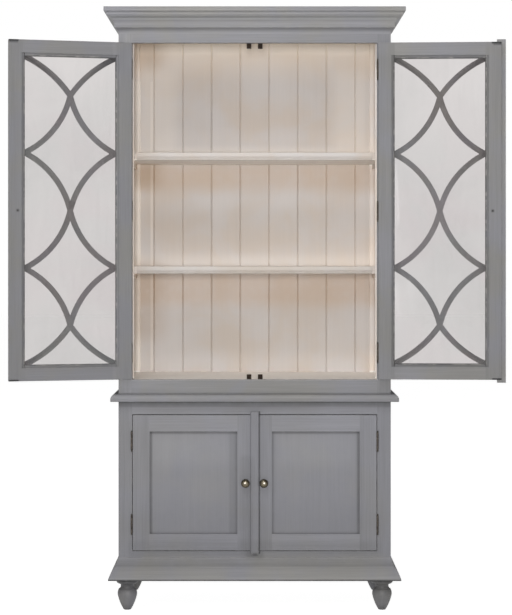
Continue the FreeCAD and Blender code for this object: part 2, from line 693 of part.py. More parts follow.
class Door:
    """One door: its names, size, side of the doorway and rest angle."""

    def __init__(self, case, hand, stile, rail, angle):
        self.label = f"{case}_door_{hand}"
        self.case = case
        self.side = 1 if hand == "left" else -1
        self.stile, self.rail, self.angle = stile, rail, angle
        self.low, self.high = f"{case}_door_low", f"{case}_door_high"

    def block(self, name, x, y, z):
        return block(f"{self.label}_{name}", x, y, z, self.side)

    def keep(self, piece, name):
        return keep(hang(piece, self.side, self.angle), f"{self.label}_{name}")

    def rails(self):
        return {"top": (f"{self.high} - {self.rail}", self.high),
                "bottom": (self.low, f"{self.low} + {self.rail}")}

    def build_frame(self, grooves):
        """Two stiles and two rails; grooves are cut from all of them."""
        y = ("door_front", "door_back")
        ends = {"hinge": ("door_start", f"door_start + {self.stile}"),
                "meeting": (f"door_end - {self.stile}", "door_end")}
        seats = {"hinge": (f"door_start + {self.stile} - door_tenon_long",
                           f"door_start + {self.stile} + overrun"),
                 "meeting": (f"door_end - {self.stile} - overrun",
                             f"door_end - {self.stile} + door_tenon_long")}
        thick = ("tenon_front", "tenon_front + tenon_thick")
        stiles = []
        for name, across in ends.items():
            blank = self.block(f"{name}_stile_blank", across, y, (self.low, self.high))
            tools = [tenon(f"{self.label}_{name}_mortise_{rail}", seats[name], z, self.side, thick)
                     for rail, z in self.rails().items()]
            tools.append(grooves(f"{name}_stile_groove"))
            if name == "hinge":
                tools += self.leaf_seats()
            else:
                tools.append(self.knob_hole())
            stiles.append(cut(f"{self.label}_{name}_stile", blank, tools))
        self.keep(group(f"{self.label}_stiles", stiles), "stiles")
        rails = []
        for name, z in self.rails().items():
            body = self.block(f"{name}_rail_body", (ends["hinge"][1], ends["meeting"][0]), y, z)
            tenons = [tenon(f"{self.label}_{name}_tenon_{end}", reach, z, self.side, thick)
                      for end, reach in (
                          ("hinge", (f"{ends['hinge'][1]} - door_tenon_long", ends["hinge"][1])),
                          ("meeting", (ends["meeting"][0], f"{ends['meeting'][0]} + door_tenon_long")))]
            whole = fused(f"{self.label}_{name}_rail_whole", [body] + tenons)
            rails.append(cut(f"{self.label}_{name}_rail", whole, [grooves(f"{name}_rail_groove")]))
        self.keep(group(f"{self.label}_rails", rails), "rails")

    def leaf_seats(self):
        return [self.block(f"leaf_seat_{n}", ("door_start - overrun", "door_start + door_leaf_sink"),
                           ("door_front - overrun", "door_front + leaf_wide"),
                           (f"{z} - hinge_long / 2", f"{z} + hinge_long / 2"))
                for n, z in enumerate(HINGE_PLACES[self.case])]

    def knob_centre(self):
        return Vector(v.door_end - v.knob_inset, v.door_front,
                      (getattr(v, self.low) + getattr(v, self.high)) / 2)

    def through_hole(self, radius, start, long):
        return for_side(Part.makeCylinder(radius, long, self.knob_centre() + Vector(0, start, 0),
                                          Vector(0, 1, 0)), self.side)

    def knob_hole(self):
        shape = self.through_hole(v.knob_screw_radius + v.knob_hole_gap, -v.overrun,
                                  v.door_thick + 2 * v.overrun)
        return feature(f"{self.label}_knob_hole", shape)

    def build_knob(self):
        """A turned knob with its screw through the stile."""
        centre = self.knob_centre()

        def place(out, rise):
            return centre + Vector(out * v.knob_radius, -rise * v.knob_long, 0)

        tip = centre + Vector(0, v.door_thick, 0)
        screw_edge = Vector(v.knob_screw_radius, 0, 0)
        steps = [[tip + screw_edge], [centre + screw_edge]] + scaled_steps(KNOB_SHARES, place)
        knob = closed_face(tip, steps).revolve(centre, Vector(0, 1, 0), 360)
        self.keep(feature(f"{self.label}_knob", for_side(knob, self.side)), "knob")

    def build_leaves(self):
        shapes = [for_side(half_hinge(getattr(v, place), True), self.side)
                  for place in HINGE_PLACES[self.case]]
        self.keep(feature(f"{self.label}_hinge_leaves", Part.makeCompound(shapes)), "hinge_leaves")

    def build_strikes(self, ends):
        across = ("door_end - strike_inset - strike_long", "door_end - strike_inset")
        y = ("door_back", "door_back + strike_thick")
        spans = {"top": (f"{self.high} - strike_tall", self.high),
                 "bottom": (self.low, f"{self.low} + strike_tall")}
        plates = [self.block(f"strike_{end}", across, y, spans[end]) for end in ends]
        self.keep(group(f"{self.label}_strikes", plates), "strikes")

    def build_astragal(self):
        """The rounded strip over the gap, relieved where it is free of its own door."""
        middle = v.door_end + v.meeting_gap / 2
        near, far = middle - v.astragal_wide / 2, middle + v.astragal_wide / 2
        low, high = getattr(v, self.low), getattr(v, self.high)
        back, front = v.door_front - v.astragal_relief, v.door_front - v.astragal_thick
        bend = v.astragal_round
        half = bend * (1 - math.sqrt(0.5))
        start = Vector(near, back, low - v.astragal_extra)
        z = start.z
        strip = closed_face(start, [
            [Vector(near, front + bend, z)],
            [Vector(near + half, front + half, z), Vector(near + bend, front, z)],
            [Vector(far - bend, front, z)],
            [Vector(far - half, front + half, z), Vector(far, front + bend, z)],
            [Vector(far, back, z)]]).extrude(UP * (high - low + 2 * v.astragal_extra))
        pad = Part.makeBox(v.door_end - near, v.astragal_relief, high - low, Vector(near, back, low))
        shape = for_side(strip.fuse(pad).removeSplitter(), self.side)
        self.keep(feature(f"{self.label}_astragal", shape), "astragal")


class GlazedDoor(Door):
    """An upper door: lattice, pane and beads in a rebated frame."""

    def __init__(self, hand, angle):
        super().__init__("upper", hand, "upper_door_frame", "upper_door_frame", angle)
        self.sight = (f"{self.low} + upper_door_frame", f"{self.high} - upper_door_frame")
        self.rebate = (("sight_start - glass_rebate", "sight_end + glass_rebate"),
                       (f"{self.sight[0]} - glass_rebate", f"{self.sight[1]} + glass_rebate"))

    def groove(self, name):
        across, upright = self.rebate
        return self.block(name, across, ("glass_front", "door_back + overrun"), upright)

    def build_pane(self):
        across, upright = self.rebate
        pane = self.block("pane", (f"{across[0]} + glass_play", f"{across[1]} - glass_play"),
                          ("glass_front", "glass_back"),
                          (f"{upright[0]} + glass_play", f"{upright[1]} - glass_play"))
        self.keep(group(f"{self.label}_glass", [pane]), "glass")

    def build_beads(self):
        (left, right), (low, high) = self.rebate
        y = ("glass_back", "glass_back + bead_thick")
        beads = [self.block("bead_hinge", (left, "sight_start"), y, (low, high)),
                 self.block("bead_meeting", ("sight_end", right), y, (low, high)),
                 self.block("bead_bottom", ("sight_start", "sight_end"), y, (low, self.sight[0])),
                 self.block("bead_top", ("sight_start", "sight_end"), y, (self.sight[1], high))]
        self.keep(group(f"{self.label}_beads", beads), "beads")

    def bar(self, node, crossing, radius, cell):
        """One curved bar from a node at the frame to a crossing, kept inside its cell."""
        chord = crossing - node
        inward = 1 if node.x < crossing.x else -1
        across = Vector(-chord.z, 0, chord.x).normalize()
        if across.x * inward > 0:
            across = -across
        away = math.sqrt(radius ** 2 - (chord.Length / 2) ** 2)
        centre = (node + crossing) / 2 + across * away
        half, thick = v.lattice_bar / 2, v.lattice_thick
        ring = Part.makeCylinder(radius + half, thick, centre, Vector(0, 1, 0))
        ring = ring.cut(Part.makeCylinder(radius - half, thick, centre, Vector(0, 1, 0)))
        return ring.common(cell)

    def build_lattice(self):
        """A fret of twelve curved bars: three crossings on the middle line, nodes at the frame."""
        left, right = v.sight_start, v.sight_end
        middle = (left + right) / 2
        low, high = v.upper_door_low + v.upper_door_frame, v.upper_door_high - v.upper_door_frame
        centre = (low + high) / 2
        y = v.glass_front - v.lattice_thick
        levels = [centre + step * v.lattice_half for step in range(-2, 3)]
        stops = [low] + levels + [high]
        bars = []
        for bottom, top in zip(stops, stops[1:]):
            end = bottom == low or top == high
            crossing_low = bottom in (levels[0], levels[2], levels[4])
            crossing_z, node_z = (bottom, top) if crossing_low else (top, bottom)
            for side_x in (left, right):
                cell = Part.makeBox(abs(middle - side_x), v.lattice_thick, top - bottom,
                                    Vector(min(side_x, middle), y, bottom))
                bars.append(self.bar(Vector(side_x, y, node_z), Vector(middle, y, crossing_z),
                                     v.lattice_end_radius if end else v.lattice_radius, cell))
        fret = bars[0].multiFuse(bars[1:]).removeSplitter()
        self.keep(feature(f"{self.label}_lattice", for_side(fret, self.side)), "lattice")

    def build(self):
        self.build_frame(self.groove)
        self.build_pane()
        self.build_beads()
        self.build_lattice()
        self.build_leaves()
        self.build_knob()
        self.build_strikes(("top", "bottom"))


class PanelledDoor(Door):
    """A lower door: a flat sunk panel in a grooved frame."""

    def __init__(self, hand):
        super().__init__("lower", hand, "lower_door_stile", "lower_door_rail", None)

    def panel_block(self, name):
        return self.block(name, ("door_start + lower_door_stile - panel_groove",
                                 "door_end - lower_door_stile + panel_groove"),
                          ("door_front + panel_sink", "door_front + panel_sink + panel_thick"),
                          (f"{self.low} + lower_door_rail - panel_groove",
                           f"{self.high} - lower_door_rail + panel_groove"))

    def build(self):
        self.build_frame(self.panel_block)
        self.keep(group(f"{self.label}_panel", [self.panel_block("panel_board")]), "panel")
        self.build_leaves()
        self.build_knob()
        self.build_strikes(("top",))


def build_doors():
    doors = [GlazedDoor("left", "left_door_open"), GlazedDoor("right", "right_door_open"),
             PanelledDoor("left"), PanelledDoor("right")]
    for door in doors:
        door.build()
    doors[1].build_astragal()
    doors[2].build_astragal()


def check_document():
    """Stop on any failed object or unsound sub-part."""
    for item in doc.Objects:
        if "Invalid" in item.State or "Error" in item.State:
            raise RuntimeError(f"{item.Label} did not compute")
    for piece in nodes:
        if piece.Shape.isNull() or not piece.Shape.isValid() or not piece.Shape.Solids:
            raise RuntimeError(f"{piece.Label} has no sound shape")


def main():
    build_cases()
    build_mouldings()
    build_feet()
    build_shelves()
    build_frame_hinges()
    build_catches()
    build_doors()
    doc.recompute()
    check_document()
    os.makedirs("parts", exist_ok=True)
    for piece in nodes:
        piece.Shape.exportStep(f"parts/{piece.Label}.step")
    print(len(nodes), "sub-parts")


main()
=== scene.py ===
"""Looks of the display cabinet: painted joinery, curved glazing bars, old brass and a plain studio."""
import json
import logging
import math
from contextlib import contextmanager
from dataclasses import dataclass, field
from enum import Enum
from typing import Callable, Iterator, Optional, Sequence, Union

import bmesh
import bpy
from mathutils import Matrix, Vector
from mathutils.bvhtree import BVHTree


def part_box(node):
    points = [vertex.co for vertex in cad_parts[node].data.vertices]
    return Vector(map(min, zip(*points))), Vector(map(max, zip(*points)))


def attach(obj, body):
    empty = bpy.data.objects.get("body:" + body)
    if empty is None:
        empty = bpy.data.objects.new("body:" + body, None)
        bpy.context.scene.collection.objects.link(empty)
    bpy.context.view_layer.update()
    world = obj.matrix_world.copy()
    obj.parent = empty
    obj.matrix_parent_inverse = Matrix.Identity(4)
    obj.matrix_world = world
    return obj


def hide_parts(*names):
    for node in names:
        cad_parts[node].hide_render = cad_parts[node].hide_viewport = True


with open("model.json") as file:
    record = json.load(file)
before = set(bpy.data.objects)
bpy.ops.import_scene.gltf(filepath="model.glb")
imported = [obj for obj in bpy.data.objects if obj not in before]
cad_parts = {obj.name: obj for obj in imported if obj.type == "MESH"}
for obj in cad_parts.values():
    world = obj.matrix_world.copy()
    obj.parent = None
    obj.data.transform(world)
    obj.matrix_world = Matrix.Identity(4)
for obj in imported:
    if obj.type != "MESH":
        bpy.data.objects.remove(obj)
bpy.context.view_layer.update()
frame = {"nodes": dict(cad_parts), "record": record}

LOG = logging.getLogger("cabinet")
Colour = tuple[float, float, float, float]
Place = tuple[float, float, float]
MM = 0.001
ORIGIN: Place = (0.0, 0.0, 0.0)
UP: Place = (0.0, 0.0, 1.0)


def paint_chip(red: int, green: int, blue: int) -> Colour:
    """A colour as seen on a screen (0 to 255), as light.

    Args:
        red, green, blue: the shades on the screen.

    Returns:
        The same colour in linear light, opaque.
    """
    shades = [shade / 255 for shade in (red, green, blue)]
    light = [s / 12.92 if s < 0.04045 else ((s + 0.055) / 1.055) ** 2.4 for s in shades]
    return (*light, 1.0)


# Shader work

class Signal:
    """A number that varies over a surface, on which sums are written as in Python."""

    def __init__(self, shader: "Shader", socket: bpy.types.NodeSocket) -> None:
        """Wraps one output socket of a shader."""
        self.shader = shader
        self.socket = socket

    def maths(self, operation: str, *others: "Term", first: bool = True) -> "Signal":
        """One Math node on this signal.

        Args:
            operation: what the node does.
            others: the other terms.
            first: whether this signal is the first term.

        Returns:
            The node's result.
        """
        terms = [self, *others] if first else [*others, self]
        return self.shader.maths(operation, *terms)

    def __add__(self, other: "Term") -> "Signal":
        """Sum."""
        return self.maths("ADD", other)

    def __sub__(self, other: "Term") -> "Signal":
        """Difference."""
        return self.maths("SUBTRACT", other)

    def __rsub__(self, other: "Term") -> "Signal":
        """Difference from a number."""
        return self.maths("SUBTRACT", other, first=False)

    def __mul__(self, other: "Term") -> "Signal":
        """Product."""
        return self.maths("MULTIPLY", other)

    __radd__ = __add__
    __rmul__ = __mul__


Term = Union[Signal, float]


class Shader:
    """Builds one material's nodes."""

    def __init__(self, name: str) -> None:
        """Starts an empty material.

        Args:
            name: the material's name.
        """
        self.material = bpy.data.materials.new(name)
        self.material.use_nodes = True
        self.tree = self.material.node_tree
        self.tree.nodes.clear()

    def node(self, kind: str, settings: Optional[dict] = None,
             sockets: Optional[dict] = None) -> bpy.types.Node:
        """Adds a node, sets it and feeds its sockets.

        Args:
            kind: the node's type.
            settings: its own settings.
            sockets: values or links, by socket name or number.

        Returns:
            The node.
        """
        node = self.tree.nodes.new(kind)
        for key, value in (settings or {}).items():
            setattr(node, key, value)
        for key, value in (sockets or {}).items():
            self.feed(node.inputs[key], value)
        return node

    def feed(self, socket: bpy.types.NodeSocket, value: object) -> None:
        """Links or sets one input socket.

        Args:
            socket: the input.
            value: a signal, an output socket, or a plain value.
        """
        if isinstance(value, Signal):
            value = value.socket
        if isinstance(value, bpy.types.NodeSocket):
            self.tree.links.new(value, socket)
        else:
            socket.default_value = value

    def maths(self, operation: str, *terms: Term) -> Signal:
        """One Math node on terms, as a signal."""
        node = self.node("ShaderNodeMath", {"operation": operation}, dict(enumerate(terms)))
        return Signal(self, node.outputs[0])

    def local(self) -> bpy.types.NodeSocket:
        """The place on the piece, in metres."""
        return self.node("ShaderNodeTexCoord").outputs["Object"]

    def attribute(self, name: str) -> bpy.types.NodeSocket:
        """A place or direction that each point of the piece carries."""
        return self.node("ShaderNodeAttribute", {"attribute_name": name}).outputs["Vector"]

    def number(self, name: str) -> Signal:
        """A number that each point or face of the piece carries, 0 where it has none."""
        return Signal(self, self.node("ShaderNodeAttribute", {"attribute_name": name}).outputs["Fac"])

    def height(self, vector: bpy.types.NodeSocket) -> Signal:
        """How high a place is."""
        return Signal(self, self.node("ShaderNodeSeparateXYZ", None, {0: vector}).outputs[2])

    def stretched(self, vector: bpy.types.NodeSocket, by: Place) -> bpy.types.NodeSocket:
        """A vector multiplied side by side."""
        node = self.node("ShaderNodeVectorMath", {"operation": "MULTIPLY"}, {0: vector, 1: by})
        return node.outputs[0]

    def folded(self, vector: bpy.types.NodeSocket) -> bpy.types.NodeSocket:
        """A place with its X made positive, so that both sides read alike."""
        parts = self.node("ShaderNodeSeparateXYZ", None, {0: vector})
        across = self.maths("ABSOLUTE", Signal(self, parts.outputs[0]))
        return self.node("ShaderNodeCombineXYZ", None, {
            0: across, 1: parts.outputs[1], 2: parts.outputs[2]}).outputs[0]

    def from_block(self, vector: bpy.types.NodeSocket, middle: Place, half: Place) -> Signal:
        """How far a place is from a block, 0 inside it.

        Args:
            vector: the place.
            middle: the block's middle.
            half: half its width, depth and height.

        Returns:
            The distance in metres.
        """
        for way, by in (("SUBTRACT", middle), ("ABSOLUTE", None), ("SUBTRACT", half), ("MAXIMUM", ORIGIN)):
            sockets = {0: vector} if by is None else {0: vector, 1: by}
            vector = self.node("ShaderNodeVectorMath", {"operation": way}, sockets).outputs[0]
        length = self.node("ShaderNodeVectorMath", {"operation": "LENGTH"}, {0: vector})
        return Signal(self, length.outputs["Value"])

    def noise(self, vector: bpy.types.NodeSocket, scale: float, detail: float = 3.0,
              rough: float = 0.5, twist: float = 0.0) -> Signal:
        """A cloudy pattern from 0 to 1.

        Args:
            vector: where the pattern is read.
            scale: cells a metre.
            detail: finer layers.
            rough: weight of the finer layers.
            twist: how far the pattern is distorted.

        Returns:
            The pattern.
        """
        node = self.node("ShaderNodeTexNoise", None, {
            "Vector": vector, "Scale": scale, "Detail": detail, "Roughness": rough, "Distortion": twist})
        return Signal(self, node.outputs[0])

    def fitted(self, signal: Signal, low: float, high: float, out_low: float = 0.0,
               out_high: float = 1.0) -> Signal:
        """A signal's span low..high laid smoothly over another span, cut off at its ends."""
        node = self.node("ShaderNodeMapRange", {"interpolation_type": "SMOOTHSTEP"}, {
            0: signal, 1: low, 2: high, 3: out_low, 4: out_high})
        return Signal(self, node.outputs[0])

    def blend(self, share: Term, first: object, second: object) -> bpy.types.NodeSocket:
        """Two colours mixed.

        Args:
            share: how much of the second.
            first, second: the colours.

        Returns:
            The mixed colour.
        """
        return self.node("ShaderNodeMix", {"data_type": "RGBA"}, {0: share, 6: first, 7: second}).outputs[2]

    def shaded(self, colour: object, by: Signal) -> bpy.types.NodeSocket:
        """A colour made lighter or darker by a signal round 1."""
        if isinstance(colour, tuple):
            colour = colour[:3]
        grey = self.node("ShaderNodeCombineXYZ", None, {0: by, 1: by, 2: by})
        node = self.node("ShaderNodeVectorMath", {"operation": "MULTIPLY"}, {0: colour, 1: grey.outputs[0]})
        return node.outputs[0]

    def relief(self, height: Signal, depth: float, strength: float = 1.0) -> bpy.types.NodeSocket:
        """A bump from a height.

        Args:
            height: the height's pattern.
            depth: metres between its 0 and 1.
            strength: how much of it is used.

        Returns:
            The bent normal.
        """
        sockets = {"Height": height, "Distance": depth, "Strength": strength}
        return self.node("ShaderNodeBump", None, sockets).outputs[0]

    def surface(self, sockets: dict) -> bpy.types.Node:
        """The main shader, with its sockets fed."""
        return self.node("ShaderNodeBsdfPrincipled", None, sockets)

    def close(self, shader: bpy.types.Node) -> bpy.types.Material:
        """Links the last shader to the output and gives back the material."""
        self.node("ShaderNodeOutputMaterial", None, {"Surface": shader.outputs[0]})
        return self.material


# Finishes

@dataclass(frozen=True)
class ShadeAndStain:
    """A colour laid in and round a block of the cabinet, alike on its left and right or on one side; most are
    painted shade and painted light, a few are stains and marks.

    Attributes:
        middle, half: the block's middle and half its width, depth and height.
        reach: how far past the block it fades out.
        amount: how strong it is in the block, up to 1.
        tint: its colour.
        both: whether it is on both sides.
        even: whether it is smooth and not broken up.
    """

    middle: Place
    half: Place
    reach: float
    amount: float
    tint: Colour = paint_chip(24, 24, 25)
    both: bool = True
    even: bool = False

    def share(self, s: Shader, local: bpy.types.NodeSocket, folded: bpy.types.NodeSocket) -> Signal:
        """How much of it lies on a place.

        Args:
            s: the shader of what it lies on.
            local: the place.
            folded: the place with its X made positive.

        Returns:
            The share, up to its amount.
        """
        away = s.from_block(folded if self.both else local, self.middle, self.half)
        return s.fitted(away, 0.0, self.reach, self.amount, 0.0)


@dataclass(frozen=True)
class BrushedPaint:
    """Old paint brushed along the grain of wood, uneven in tone and rubbed at its edges, with painted light
    and painted shade laid on it.

    Attributes:
        name: the material's name.
        body, warm, cool: the paint's colour and what it turns to in patches.
        rubbed, rub: the colour of rubbed edges and how much of it shows.
        streak, cloud: how much the brush marks and the large clouds shade it.
        rough: its roughness.
        depth: how deep the brush marks are.
        shades_and_stains: its painted light, painted shade and stains, in the order they are laid.
        chilled: heights between which it is cooler in hue.
        hue_share, chill_share, calm_share: how strong the patches' hue, the chill and a panel's patches are.
        brush_cells ... dirt_cells: cells a metre of each pattern, the first three along and across the grain.
    """

    name: str
    body: Colour
    warm: Colour
    cool: Colour
    rubbed: Colour
    rub: float = 0.5
    streak: float = 0.10
    cloud: float = 0.06
    rough: float = 0.52
    depth: float = 0.00035
    shades_and_stains: tuple[ShadeAndStain, ...] = ()
    chilled: Optional[tuple[float, float]] = None
    hue_share: float = 0.7
    chill_share: float = 0.55
    calm_share: float = 0.65
    brush_cells: Place = (5.0, 380.0, 380.0)
    timber_cells: Place = (2.2, 60.0, 60.0)
    board_cells: Place = (0.35, 0.35, 0.35)
    patch_cells: float = 4.2
    cloud_cells: float = 1.6
    speck_cells: float = 700.0
    chip_cells: float = 38.0
    dirt_cells: float = 26.0

    def shaded_and_stained(self, s: Shader, tint: object) -> object:
        """The paint with its painted light, painted shade and stains laid over it.

        Args:
            s: the paint's shader.
            tint: the clean paint's colour.

        Returns:
            The colour with them laid over it.
        """
        local = s.local()
        folded = s.folded(local)
        broken = s.fitted(s.noise(local, self.dirt_cells, 4.0, 0.6), 0.25, 0.6, 0.8, 1.0)
        for shade_and_stain in self.shades_and_stains:
            share = shade_and_stain.share(s, local, folded)
            tint = s.blend(share if shade_and_stain.even else share * broken, tint, shade_and_stain.tint)
        return tint

    def hue(self, s: Shader, local: bpy.types.NodeSocket, patch: Signal) -> bpy.types.NodeSocket:
        """The clean paint's colour, warmer and cooler in patches.

        Args:
            s: the paint's shader.
            local: the place on the piece.
            patch: the patches.

        Returns:
            The colour.
        """
        tint = s.blend(s.fitted(patch, 0.38, 0.64), self.cool, self.warm)
        tint = s.blend(self.hue_share, self.body, tint)
        if self.chilled:
            rise = s.height(local)
            low, high = self.chilled
            band = s.fitted(rise, low - 0.02, low + 0.02) * s.fitted(rise, high - 0.01, high + 0.03, 1.0, 0.0)
            tint = s.blend(band * self.chill_share, tint, self.cool)
        return tint

    def make(self) -> bpy.types.Material:
        """Builds the paint.

        Returns:
            The material.
        """
        s = Shader(self.name)
        local, grain = s.local(), s.attribute("grain")
        brush = s.noise(s.stretched(grain, self.brush_cells), 1.0, 4.0, 0.6)
        timber = s.noise(s.stretched(grain, self.timber_cells), 1.0, 5.0, 0.55, 0.6)
        board = s.noise(s.stretched(grain, self.board_cells), 1.0, 1.0)
        patch = s.noise(local, self.patch_cells, 4.0, 0.55, 0.4)
        cloud = s.noise(local, self.cloud_cells, 2.0, 0.5)
        speck = s.noise(local, self.speck_cells, 2.0, 0.6)
        calm = s.number("calm")
        shade = 1.0 + ((brush - 0.5) * self.streak * 1.6 + (timber - 0.5) * self.streak) * (1.0 - calm)
        shade = shade + (patch - 0.5) * calm * self.calm_share
        shade = shade + (cloud - 0.5) * self.cloud * 2.0 + (board - 0.5) * self.cloud * 2.0
        shade = shade + (speck - 0.5) * 0.05
        # the piece's tone, written by mark_light_tone: painted light and painted shade for how the lamps fall
        # on it
        shade = shade * (1.0 + s.number("tone"))
        tint = self.shaded_and_stained(s, s.shaded(self.hue(s, local, patch), shade))
        chip = s.fitted(s.noise(local, self.chip_cells, 5.0, 0.65), 0.44, 0.62)
        edge = s.number("arris")
        tint = s.blend(edge * chip * self.rub, tint, self.rubbed)
        wear = s.fitted(patch, 0.3, 0.7, -0.05, 0.05)
        height = brush * 0.45 + timber * 0.55 + speck * 0.12
        return s.close(s.surface({
            "Base Color": tint,
            "Roughness": wear + self.rough + (brush - 0.5) * 0.12 - edge * 0.08,
            "IOR": 1.45,
            "Normal": s.relief(height, self.depth, 0.6),
        }))


@dataclass(frozen=True)
class OldBrass:
    """Metal that has darkened, rubbed bright on what hands touch.

    Attributes:
        name: the material's name.
        bright, dark: the rubbed metal's and the darkened metal's colours.
        bright_share: how much of it is still bright.
        rough, metal: its roughness and how metallic it is.
        spots: single spots laid over it, brighter or darker, such as a painted highlight.
        bloom_cells, fine_cells: cells a metre of its patterns.
    """

    name: str
    bright: Colour
    dark: Colour
    bright_share: float = 0.5
    rough: float = 0.32
    metal: float = 1.0
    spots: tuple[ShadeAndStain, ...] = ()
    bloom_cells: float = 130.0
    fine_cells: float = 900.0

    def make(self) -> bpy.types.Material:
        """Builds the metal.

        Returns:
            The material.
        """
        s = Shader(self.name)
        local = s.local()
        bloom = s.noise(local, self.bloom_cells, 5.0, 0.62, 0.3)
        fine = s.noise(local, self.fine_cells, 3.0, 0.6)
        share = s.fitted(bloom, 0.5 - self.bright_share * 0.35, 0.78 - self.bright_share * 0.35)
        tint = s.blend(share, self.bright, self.dark)
        tint = s.blend(s.number("arris") * 0.45, tint, self.bright)
        tint = s.shaded(tint, 1.0 + (fine - 0.5) * 0.2)
        folded = s.folded(local)
        for spot in self.spots:
            tint = s.blend(spot.share(s, local, folded), tint, spot.tint)
        return s.close(s.surface({
            "Base Color": tint,
            "Metallic": self.metal - share * 0.25,
            "Roughness": self.rough + share * 0.12 + (fine - 0.5) * 0.08,
            "Normal": s.relief(bloom * 0.6 + fine * 0.4, 0.000008, 0.4),
        }))


@dataclass(frozen=True)
class MouldedPlastic:
    """Dark moulded plastic with a faint orange-peel skin.

    Attributes:
        name: the material's name.
        body, dust: the plastic's colour and the dust's.
        rough: its roughness.
        peel_cells, film_cells: cells a metre of the skin and the dust.
    """

    name: str
    body: Colour
    dust: Colour
    rough: float = 0.62
    peel_cells: float = 1100.0
    film_cells: float = 90.0

    def make(self) -> bpy.types.Material:
        """Builds the plastic.

        Returns:
            The material.
        """
        s = Shader(self.name)
        local = s.local()
        peel = s.noise(local, self.peel_cells, 2.0)
        film = s.noise(local, self.film_cells, 4.0, 0.6)
        tint = s.blend(s.fitted(film, 0.45, 0.75) * 0.35, self.body, self.dust)
        return s.close(s.surface({
            "Base Color": tint,
            "Roughness": self.rough + s.fitted(film, 0.4, 0.7) * 0.2,
            "Specular IOR Level": 0.12,
            "Normal": s.relief(peel, 0.00005, 0.4),
        }))


@dataclass(frozen=True)
class WindowGlass:
    """Old drawn glass, faintly clouded and a little uneven.

    Attributes:
        name: the material's name.
        clear: what it lets through.
        pink, green: the two hues of its haze.
        haze_share: how strong the haze is all over.
        fade, fade_share: heights over which the haze thins, and by how much.
        cloud_cells ... hue_cells: cells a metre of its patterns.
    """

    name: str
    clear: Colour
    pink: Colour
    green: Colour
    haze_share: float = 0.08
    fade: tuple[float, float] = (1.55, 2.02)
    fade_share: float = 0.12
    cloud_cells: float = 3.2
    smear_cells: Place = (14.0, 14.0, 3.0)
    draw_cells: Place = (9.0, 9.0, 2.0)
    hue_cells: Place = (3.4, 3.4, 4.6)

    def make(self) -> bpy.types.Material:
        """Builds the glass.

        Returns:
            The material.
        """
        s = Shader(self.name)
        local = s.local()
        cloud = s.noise(local, self.cloud_cells, 3.0, 0.5, 0.3)
        smear = s.noise(s.stretched(local, self.smear_cells), 1.0, 5.0, 0.6, 0.8)
        draw = s.noise(s.stretched(local, self.draw_cells), 1.0, 2.0)
        hue = s.noise(s.stretched(local, self.hue_cells), 1.0, 3.0, 0.6, 0.8)
        film = s.blend(s.fitted(hue, 0.38, 0.62), self.green, self.pink)
        ripple = s.relief(draw, 0.0006, 0.5)
        body = s.surface({"Base Color": film, "Roughness": 0.04 + s.fitted(smear, 0.4, 0.8) * 0.12,
                          "IOR": 1.5, "Normal": ripple})
        through = s.node("ShaderNodeBsdfTransparent", None, {"Color": self.clear})
        face = Signal(s, s.node("ShaderNodeFresnel", None, {"IOR": 1.45}).outputs[0])
        share = face * 0.7 + s.fitted(smear, 0.35, 0.8) * 0.04 + s.fitted(cloud, 0.36, 0.64) * 0.07
        share = share - s.fitted(s.height(local), *self.fade, 0.0, self.fade_share)
        mixed = s.node("ShaderNodeMixShader", None, {
            0: share + self.haze_share, 1: through.outputs[0], 2: body.outputs[0]})
        return s.close(mixed)


@dataclass(frozen=True)
class StudioFloor:
    """A plain pale floor, hardly uneven.

    Attributes:
        name: the material's name.
        body: its colour.
        glow: how strongly it shines, so that it looks white.
    """

    name: str = "studio_floor"
    body: Colour = (0.86, 0.86, 0.86, 1.0)
    glow: float = 1.0

    def make(self) -> bpy.types.Material:
        """Builds the floor's finish.

        Returns:
            The material.
        """
        s = Shader(self.name)
        cloud = s.noise(s.local(), 1.1, 3.0)
        return s.close(s.surface({"Base Color": s.shaded(self.body, 1.0 + (cloud - 0.5) * 0.02),
                                  "Roughness": 0.75 + (cloud - 0.5) * 0.1, "Emission Color": self.body,
                                  "Emission Strength": self.glow}))


